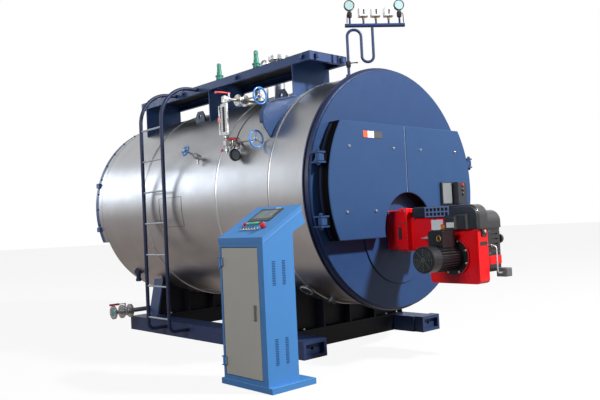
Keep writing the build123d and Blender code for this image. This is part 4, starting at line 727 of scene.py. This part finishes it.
class BOILER_OT_desk(bpy.types.Operator):
    """Adds the glass, caps, vents and edges of the desk"""

    bl_idname = "boiler.desk"
    bl_label = "Desk fittings"

    def execute(self, context):
        glass = slab((0.205, 0.124, 0.004), on_slope(0.325, 0.012, 0.0102), SLOPE, *LABEL, UPHILL)
        piece("screen_glass", [glass], "screen")
        label = slab((0.060, 0.012, 0.002), on_slope(0.432, -0.035), SLOPE, *LABEL, UPHILL)
        piece("desk_label", [label], "label")
        row = [(0.117, (index - 2.5) * 0.034) for index in range(6)]
        cap = [(0.0088, 0), (0.0088, 0.003), (0.0070, 0.0052), (0.003, 0.006)]
        caps = [knob(cap, *spot, 0.0118) for spot in row]
        caps.append(slab((0.006, 0.022, 0.002), on_slope(0.193, -0.085, 0.0115), SLOPE, 0.008, side=UPHILL))
        piece("caps_black", caps, "black")
        lamps = slab((0.0275, 0.150, 0.004), on_slope(0.196, 0.034), SLOPE, 0.015, 0.002, ALONG)
        piece("caps_green", [lamps], "lamp_green")
        stops = [knob([(0.017, 0), (0.017, 0.006), (0.013, 0.008), (0.013, 0.015), (0.008, 0.018)],
                      0.189, 0.1345, count=28),
                 knob([(0.0215, -0.0235), (0.0215, 0), (0.021, 0.002), (0.022, 0.007), (0.018, 0.011),
                       (0.008, 0.013)], 0.138, -0.150, 0.0238, 32)]
        piece("caps_red", stops, "lever")
        ring = [(0.0146, 0), (0.0146, 0.004), (0.0120, 0.0054), (0.0092, 0.0044)]
        rings = [knob(ring, *spot, 0.0041) for spot in row + [(0.193, -0.085)]]
        piece("button_rings", rings, "label")
        lip = slab((0.033, 0.006, 0.0025), (0, 0, 0), FRONT, 0.0016, 0.0004)
        vents = [copies(lip, [(x, -1.130, z) for z in np.arange(low, high, 0.0125)])
                 for x, (low, high) in product((-1.8825, -1.7835), ((0.787, 0.967), (0.197, 0.393)))]
        piece("desk_vents", vents, "desk_dark")
        low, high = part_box("desk_plinth")
        corner = (low[0], low[1], high[2])
        # Painted highlight: pale lines along the plinth's top edges and the lid's fold.
        edges = ((corner, (low[0], high[1], high[2]), 0.0014), (corner, (high[0], low[1], high[2]), 0.0014),
                 ((-1.979, -1.1345, 1.1098), (-1.572, -1.1345, 1.3436), 0.0013))
        worn = [bar(np.linspace(start, end, 8), radius, 8) for start, end, radius in edges]
        piece("desk_highlight_lines", worn, "edge_highlight")
        return {"FINISHED"}


class BOILER_OT_gauge(bpy.types.Operator):
    """Adds the levers, scale, guard and dial of the water gauge"""

    bl_idname = "boiler.gauge"
    bl_label = "Gauge fittings"

    def execute(self, context):
        x, y = GAUGE
        back = x - 0.0172
        face, rail, middle = back - 0.004, y + 0.104, 2.279
        scale = [slab((0.013, 0.0045, 0.0015), (face, y + side, z), LEFT, 0.0008, 0.0002)
                 for z, side in product(np.linspace(2.165, 2.393, 12), (-0.0335, 0.0335))]
        scale.append(slab((0.036, 0.246, 0.006), (face, y, middle), LEFT, 0.001, 0.0003))
        piece("gauge_scale", scale, "rubber")
        guard = [slab((0.096, 0.306, 0.006), (back, y, middle), LEFT, 0.004),
                 bar([(x, rail, z) for z in np.linspace(2.135, 2.425, 14)], 0.0055, 10, ACROSS)]
        guard += [bar([(x, y + 0.02, z), (x, y + 0.05, z), (x, rail, z)], 0.0055, 10, ACROSS)
                  for z in (2.14, 2.42)]
        piece("gauge_guard", guard, "white")
        drop = lathe([(0.010, 0), (0.014, 0.006), (0.014, 0.05), (0.010, 0.056)], (x, rail, 2.255), UP, 20)
        piece("gauge_float", [drop], "pink")
        steel = [bolts(product((face,), (y - 0.038, y + 0.038), (2.137, 2.421)), LEFT, 0.005)]
        steel += [bolt((x, y + side * 0.029, z), ALONG * side, 0.0045)
                  for z, side in product(np.linspace(2.18, 2.38, 5), (-1, 1))]
        along = np.linspace(0, 1, 12)[:, None]
        half = np.interp(along[:, 0], [0, 0.2, 1], [0.014, 0.009, 0.012])
        levers = []
        for z, foot, reach in ((UPPER_Z, (0.060, 0, 0.058), (-0.150, 0.028, 0)),
                               (LOWER_Z, (-0.006, 0.012, 0.024), (0.062, -0.125, 0.012))):
            steel.append(lathe([(0.010, 0), (0.010, 0.04), (0.015, 0.041), (0.015, 0.05)],
                               (x + 0.055, y, z + 0.012), UP, 20))
            levers.append(bar(np.add((x, y, z), foot) + along * reach + 0.006 * UP * np.sin(3 * along), half))
            steel.append(lathe([(0.026, -0.012), (0.026, 0.012), (0.020, 0.016), (0.020, 0.02)],
                               (x + 0.040, y, z), LEFT))
        steel.append(lathe([(0.016, 0), (0.020, 0.010), (0.020, 0.032), (0.013, 0.038), (0.013, 0.052)],
                           (x, y, 1.998), -UP, 24))
        z = 1.984
        steel.append(bar([(x, y - 0.02, z), (x, y + 0.05, z)], 0.009))
        levers.append(bar([(x, y + reach, z) for reach in (0.048, 0.056, 0.082)], [0.010, 0.013, 0.012]))
        piece("gauge_levers", levers, "lever")
        piece("gauge_cocks", steel, "steel")
        discs, nuts = [], []
        for valve, z, wheel in ((-1.000, UPPER_Z, "handwheel_upper"), (-1.122, LOWER_Z, "handwheel_lower")):
            for flange in (valve - 0.046, valve + 0.046):
                discs.append(lathe([(0.054, -0.008), (0.058, -0.005), (0.058, 0.005), (0.054, 0.008)],
                                   (flange, y, z), LEFT, 40))
                nuts.append(bolt_circle((flange - 0.008, y, z), 0.046, 4, LEFT, 0.006, 0.8))
            nuts.append(lathe([(0.020, 0), (0.022, 0.004), (0.020, 0.010), (0.010, 0.014)],
                              (valve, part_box(wheel)[1][1] + 0.006, z), FRONT, 24))
        discs.append(lathe([(0.027, 0), (0.030, 0.004), (0.030, 0.030), (0.024, 0.036)], (x, y, 2.440), UP))
        discs.append(lathe([(0.022, 0), (0.026, 0.004), (0.026, 0.022), (0.022, 0.026)], (x, y, 2.092), UP))
        piece("gauge_flanges", discs, "steel")
        piece("gauge_bolts", nuts, "bolt")
        lead = flow([(-1.128, 0.290, 1.985), (-1.118, 0.268, 2.05), (-1.086, 0.240, 2.16),
                     (-1.010, 0.215, 2.27), (-0.930, 0.200, 2.345), (-0.880, 0.210, 2.372)])
        piece("dial_lead", [bar(lead, 0.0055, 10, ALONG)], "rubber")
        rim = lathe([(0.020, -0.030), (0.052, -0.024), (0.060, -0.020), (0.060, 0.004), (0.050, 0.006),
                     (0.049, 0.001)], *DIAL, 48)
        piece("dial_rim", [rim], "rubber")
        glass = lathe([(0.0492, 0.0006), (0.0490, 0.0016), (0.002, 0.0018)], *DIAL, 48)
        piece("dial_glass", [glass], "dial")
        return {"FINISHED"}


def on_run(run, height, forward=0.0):
    """A point on the turned upright plane of the instrument pipes, or forward of it."""
    return np.array((-0.327, -0.550, height)) + run * SIDEWAYS + forward * FACING


class BOILER_OT_instruments(bpy.types.Operator):
    """Adds the dial faces, cocks and slots of the instruments"""

    bl_idname = "boiler.instruments"
    bl_label = "Instrument fittings"

    def execute(self, context):
        dial_z, case_z, cock_z = 3.332, 3.262, 3.245
        glass, rims, nuts, cases, slots, levers = ([] for _ in range(6))
        for run, side in ((0.034, -1), (0.531, 1)):
            dial = on_run(run, dial_z, 0.013)
            rims.append(lathe([(0.0515, -0.022), (0.0515, 0.003), (0.045, 0.005), (0.044, 0.001)],
                              dial, FACING, 48))
            glass.append(lathe([(0.0445, 0.0006), (0.0440, 0.0016), (0.002, 0.0019)], dial, FACING, 48))
            levers.append(lathe([(0.021, 0), (0.024, 0.018), (0.024, 0.045), (0.018, 0.055)],
                                on_run(run, 3.215), UP, 16))
            levers.append(lathe([(0.014, -0.030), (0.014, 0.030)], on_run(run, cock_z), FACING, 20))
            tip, away = on_run(run, cock_z, 0.028), 0.030 * side * SIDEWAYS
            path = [tip, tip + away * 0.8, tip + away - 0.012 * UP, tip + away * 1.1 - 0.095 * UP]
            levers.append(bar(path, [0.005, 0.0045, 0.0045, 0.005], 8, FACING))
        for run in (0.170, 0.295, 0.422):
            cases.append(slab((0.094, 0.086, 0.006), on_run(run, case_z, -0.034), FACING, 0.068, 0.003))
            slots.append(slab((0.013, 0.046, 0.003), on_run(run, case_z, 0.034), FACING, 0.0016, 0.0004))
            nuts.append(lathe([(0.013, 0), (0.013, 0.014), (0.016, 0.016), (0.016, 0.024)],
                              on_run(run, 3.192), UP, 6))
        foot = on_run(0, 2.755)
        levers.append(lathe([(0.020, -0.03), (0.024, -0.012), (0.024, 0.012), (0.020, 0.03)], foot, UP, 24))
        levers.append(lathe([(0.010, 0), (0.010, 0.034), (0.015, 0.036), (0.015, 0.044)], foot, FACING, 20))
        path = [foot + 0.04 * FACING, foot + 0.045 * FACING + [0.03, -0.02, 0.004],
                foot + 0.048 * FACING + [0.072, -0.045, 0.006]]
        levers.append(bar(path, [0.007, 0.005, 0.007], 10))
        piece("gauge_glass", glass, "cyan")
        piece("gauge_rims", rims, "rubber")
        piece("instrument_nuts", nuts, "brass")
        piece("switch_cases", cases, "white")
        piece("switch_slots", slots, "rubber")
        piece("cock_levers", levers, "rubber")
        return {"FINISHED"}


def leaning(degrees):
    """The direction out of the shell at an angle from its top, towards +X."""
    lean = math.radians(degrees)
    return np.array((math.sin(lean), 0.0, math.cos(lean)))


class BOILER_OT_shell(bpy.types.Operator):
    """Adds the rivets, laps, beads and trim of the cladding"""

    bl_idname = "boiler.shell"
    bl_label = "Cladding fittings"

    def execute(self, context):
        turn, y = [], []
        for (offset, _), side in product(SEAMS, (-0.022, 0.022)):
            turn.append(turns(72))
            y.append(np.full(72, PLATE + offset + side))
        rows = ((-0.70, -0.245), (-0.19, 0.585), (0.64, 2.025), (2.08, 3.09))
        for (start, end), degrees in product(rows, LAPS):
            y.append(np.arange(start, end, 0.055))
            turn.append(np.full(len(y[-1]), math.radians(degrees)))
        turn, y = np.concatenate(turn), np.concatenate(y)
        out = np.stack([np.sin(turn), 0 * turn, np.cos(turn)], -1)[:, None]
        points, faces = lathe([(0.0042, 0), (0.0038, 0.0016), (0.0018, 0.0026)], (0, 0, 0), UP, 8)
        heads = (points[:, :1] * np.cross(ALONG, out) + (points[:, 1:2] + y[:, None, None]) * ALONG
                 + (points[:, 2:] + SHELL + 0.0001) * out + [0, 0, AXIS_Z])
        rivets = heads.reshape(-1, 3), repeated(faces, len(points), len(turn))
        piece("cladding_rivets", [rivets], "steel")
        laps = []
        ends = ((-0.724, -0.232), (-0.202, 0.600), (0.630, 2.040), (2.069, 3.114))
        for degrees, (start, end) in product(LAPS, ends):
            out = leaning(degrees)
            path = np.linspace(start, end, 12)[:, None] * ALONG + out * (SHELL + 0.0002) + [0, 0, AXIS_Z]
            laps.append(strip(path, np.cross(ALONG, out), out, 0.03, 0.0012))
        piece("cladding_laps", laps, "cladding")
        reach = SHELL + 0.0055
        beads = []
        for offset, radius in SEAMS:
            path = arc(turns(240), (0, PLATE + offset, AXIS_Z), reach, reach)
            beads.append(bar(path, radius, 8, ALONG, closed=True))
        # The beads' pale paint is a painted highlight along each seam; the first bead is grey, a dimmer copy
        # as painted shade where the support's shadow falls at the front.
        piece("seam_beads", beads[1:], "bead")
        piece("front_bead_shaded", beads[:1], "grey")
        corners = [(1.262, 1.720), (1.585, 1.720), (1.585, 1.260), (1.262, 1.260)]
        trim = []
        for near, far in zip(corners, corners[1:] + corners[:1]):
            z, y = np.linspace(near, far, 16).T
            x = -np.sqrt((SHELL + 0.0012) ** 2 - (z - AXIS_Z) ** 2)
            trim.append(bar(np.stack([x, y, z], -1), 0.0021, 8, ACROSS))
        piece("panel_trim", trim, "cast")
        return {"FINISHED"}


class BOILER_OT_fixings(bpy.types.Operator):
    """Adds the bolts, sockets and vents of the walkway, skid, valves and rear"""

    bl_idname = "boiler.fixings"
    bl_label = "Other fittings"

    def execute(self, context):
        size = context.scene.boiler.bolt_size
        mouth = (-1.315, *BLOWDOWN)
        nuts = [bolt_circle(mouth, 0.062, 6, LEFT, 0.009),
                bolt_circle((-1.205, *BLOWDOWN), 0.064, 6, LEFT, 0.008)]
        piece("blowdown_bolts", nuts, "bolt")
        centre = lathe([(0.036, -0.001), (0.036, 0.0015), (0.030, 0.003), (0.004, 0.0032)], mouth, LEFT)
        piece("blowdown_centre", [centre], "teal")
        grip = bar([(x, BLOWDOWN[0], 0.3555) for x in (-1.230, -1.28, -1.352)], [0.0135, 0.012, 0.0135], 14)
        piece("blowdown_grip", [grip], "lever")
        sockets = []
        cup = [(0.017, 0), (0.017, 0.046), (0.013, 0.047), (0.013, 0.01)]
        for x, y, out in [*product((-0.62, -0.27), (-0.421,), (FRONT,)),
                          *product((-0.721,), (-0.30, 0.75, 1.80, 2.70), (LEFT,))]:
            sockets += [lathe(cup, (x, y, 2.812), UP, 20), bolt((x, y, 2.835) - 0.019 * out, out, 0.008, 0.6)]
        piece("rail_sockets", sockets, "walk")
        nuts = [bolt_circle((0, 0.850, 3.1735), 0.096, 8, UP, size * 0.9, 0.2)]
        caps, crest = [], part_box("safety_valves")[1][2]
        for y in (1.260, 2.020):
            nuts.append(bolt_circle((0, y, 3.0003), 0.054, 4, UP, 0.007, 0.78))
            nuts.append(bolt_circle((0.0985, y, 3.085), 0.046, 4, ACROSS, 0.006, 0.78))
            caps.append(lathe([(0.030, 0), (0.034, 0.006), (0.034, 0.060), (0.026, 0.070)],
                              (0, y, crest - 0.215), UP, 24))
            caps.append(lathe([(0.024, 0), (0.028, 0.004), (0.028, 0.044), (0.018, 0.052)],
                              (0, y, crest - 0.056), UP, 24))
            for side in (-1, 1):
                low, high = (0, y + side * 0.027, crest - 0.16), (0, y + side * 0.022, crest - 0.05)
                caps.append(bar(np.linspace(low, high, 5), 0.006, 10, ACROSS))
            lever = np.array([(0, 0, -0.075), (-0.04, -0.03, -0.085), (-0.075, -0.055, -0.14)])
            caps.append(bar(lever + [0, y, crest], 0.006, 10))
        piece("crown_bolts", nuts, "bolt")
        piece("safety_caps", caps, "green")
        y, reach = 1.120, 0.048
        hoop = arc(np.linspace(math.pi, 0, 24), (0, y, 3.135), reach, reach, 0)
        near, far = y - reach, y + reach
        vent = [(0, near, 2.672), (0, near, 2.90), *hoop, (0, far, 3.06), (0, far, 2.985)]
        collar = lathe([(0.030, 0), (0.030, 0.024), (0.020, 0.03)], (0, near, 2.6702), UP, 24)
        piece("vent_pipe", [bar(vent, 0.0125, 14, ACROSS), collar], "steel")
        rear = [bolt(out * (SHELL + 0.0018) + [0, 3.245, AXIS_Z], out, size)
                for out in arc(np.radians(np.linspace(-10, 190, 21)), (0, 0, 0), 1, 1)]
        piece("rear_bolts", rear, "rear")
        base = product((-0.80, -0.62, 0.62, 0.80), (-0.05, 0.05, 2.41, 2.51), (0.185,))
        piece("saddle_bolts", [bolts(base, UP, size)], "bolt")
        drain = lathe([(0.046, -0.020), (0.052, -0.012), (0.052, 0.030), (0.030, 0.034), (0.028, 0.090),
                       (0.036, 0.094), (0.036, 0.122), (0.026, 0.128)], (-0.795, 2.880, 0.712), -UP)
        piece("rear_drain", [drain], "navy")
        rings, caps = [], []
        for y, degrees, radius in ((-0.210, 217, 0.050), (-0.330, 205, 0.033)):
            out = leaning(degrees)
            spot = out * (SHELL + 0.0443) + [0, y, AXIS_Z]
            rings.append(lathe([(0.0685, -0.004), (0.0685, 0.002), (0.062, 0.003), (0.062, -0.003)],
                               spot, out, 48))
            caps.append(bolt_circle(spot, radius, 6, out, 0.007))
        # The first cover's pale ring is a painted highlight, the bright crescent on its edge.
        piece("cover_highlight_ring", rings[:1], "bead")
        piece("cover_bolts", caps, "cast")
        return {"FINISHED"}


class BOILER_OT_stage(bpy.types.Operator):
    """Sets the floor, the lamps, the world and the camera"""

    bl_idname = "boiler.stage"
    bl_label = "Floor, light and camera"

    def execute(self, context):
        settings = context.scene.boiler
        floor()
        lamp("key", (3.4, -8.8, 8.6), (0.0, -0.6, 1.2), settings.key_power, (0.9, 0.9))
        lamp("side", (-12.5, -2.2, 5.6), (-0.8, 0.0, 1.3), settings.side_power, (4.4, 4.0))
        lamp("rear", (-5.8, 13.0, 4.8), (-0.8, 1.5, 1.6), settings.rear_power, (6.0, 3.2), "#e6f0ff")
        world(settings.fill)
        camera()
        context.scene.view_settings.view_transform = "Standard"
        return {"FINISHED"}


def ray_kind(tree, gloss=1.0):
    """1 for rays from the camera or through glass, the given share for rays from gloss, else 0."""
    path = add(tree, "ShaderNodeLightPath").outputs
    seen = calc(tree, "MAXIMUM", path["Is Camera Ray"], calc(tree, "MULTIPLY", path["Is Glossy Ray"], gloss))
    return calc(tree, "MAXIMUM", seen, path["Is Transmission Ray"])


def blend(tree, share, first, second, end):
    """Ends a node tree with a share of the second shader over the first."""
    both = add(tree, "ShaderNodeMixShader", {0: share, 1: first.outputs[0], 2: second.outputs[0]})
    add(tree, end, {"Surface": both.outputs[0]})


def floor():
    """A wide pale floor: seen nearly white with the shadow on it, and throwing little light back."""
    points, faces = skin([np.c_[circle(radius, 64), np.zeros(64)] for radius in (60.0, 20.0, 6.0)])
    mesh = bpy.data.meshes.new("floor")
    mesh.from_pydata(points.tolist(), [], faces[:-2] + [faces[-1]])
    made = bpy.data.objects.new("floor", mesh)
    bpy.context.scene.collection.objects.link(made)
    material, tree = start_material("pale_floor")
    gloss = add(tree, "ShaderNodeLightPath").outputs["Is Glossy Ray"]
    tone = mixed(tree, gloss, (1, 1, 1, 1), linear("#f5dfd2"))
    seen = ray_kind(tree, 0.38)
    matt = add(tree, "ShaderNodeBsdfDiffuse", {"Color": spread(tree, seen, 0.12, 0.8, 0, 1)})
    white = add(tree, "ShaderNodeEmission", {"Color": tone, "Strength": 1.0})
    blend(tree, calc(tree, "MULTIPLY", seen, 0.91), matt, white, "ShaderNodeOutputMaterial")
    mesh.materials.append(material)


def lamp(name, place, target, power, size, code="#ffffff"):
    """A rectangular lamp turned towards a target."""
    light = bpy.data.lights.new(name, "AREA")
    light.shape = "RECTANGLE"
    light.size, light.size_y = size
    light.energy = power
    light.color = linear(code)[:3]
    made = bpy.data.objects.new(name, light)
    made.location = place
    made.rotation_euler = (Vector(target) - Vector(place)).to_track_quat("-Z", "Y").to_euler()
    bpy.context.scene.collection.objects.link(made)


def world(fill):
    """Even light, seen as white by the camera and by gloss, greyer overhead."""
    made = bpy.data.worlds.new("studio")
    bpy.context.scene.world = made
    made.use_nodes = True
    tree = made.node_tree
    tree.nodes.clear()
    height = add(tree, "ShaderNodeSeparateXYZ", {0: add(tree, "ShaderNodeTexCoord").outputs["Generated"]})
    seen = spread(tree, height.outputs["Z"], 1.0, 0.4, 0.4, 0.85)
    even = add(tree, "ShaderNodeBackground", {"Color": (1, 1, 1, 1), "Strength": fill})
    white = add(tree, "ShaderNodeBackground", {"Color": (1, 1, 1, 1), "Strength": seen})
    blend(tree, ray_kind(tree), even, white, "ShaderNodeOutputWorld")


def camera():
    """The photograph's view: yaw, pitch and roll as worked out from the shell and the desk."""
    yaw, pitch, roll = (math.radians(angle) for angle in (42.52, 1.91, -2.727))
    eye = (-5.097, -4.962, 1.243)
    ahead = Vector((math.sin(yaw) * math.cos(pitch), math.cos(yaw) * math.cos(pitch), math.sin(pitch)))
    level = Vector((math.cos(yaw), -math.sin(yaw), 0.0))
    over = level.cross(ahead)
    right = level * math.cos(roll) + over * math.sin(roll)
    top = over * math.cos(roll) - level * math.sin(roll)
    lens = bpy.data.cameras.new("camera")
    lens.lens = 40.23
    lens.sensor_width = 36.0
    made = bpy.data.objects.new("camera", lens)
    made.matrix_world = Matrix.Translation(eye) @ Matrix((right, top, -ahead)).transposed().to_4x4()
    bpy.context.scene.collection.objects.link(made)
    bpy.context.scene.camera = made


STEPS = (BOILER_OT_finishes, BOILER_OT_front, BOILER_OT_burner, BOILER_OT_desk, BOILER_OT_gauge,
         BOILER_OT_instruments, BOILER_OT_shell, BOILER_OT_fixings, BOILER_OT_stage)


class BOILER_PT_panel(bpy.types.Panel):
    """Lists the settings and the steps"""

    bl_label = "Boiler"
    bl_space_type = "VIEW_3D"
    bl_region_type = "UI"
    bl_category = "Boiler"

    def draw(self, context):
        for name in BoilerSettings.__annotations__:
            self.layout.prop(context.scene.boiler, name)
        for step in STEPS:
            self.layout.operator(step.bl_idname)


CLASSES = (BoilerSettings,) + STEPS + (BOILER_PT_panel,)


def register():
    """Makes the settings, the steps and the panel known."""
    for kind in CLASSES:
        bpy.utils.register_class(kind)
    bpy.types.Scene.boiler = bpy.props.PointerProperty(type=BoilerSettings)


def unregister():
    """Takes them away again."""
    del bpy.types.Scene.boiler
    for kind in reversed(CLASSES):
        bpy.utils.unregister_class(kind)


def main():
    """Runs every step in order."""
    register()
    for step in STEPS:
        group, name = step.bl_idname.split(".")
        getattr(getattr(bpy.ops, group), name)()


if __name__ == "__main__":
    main()
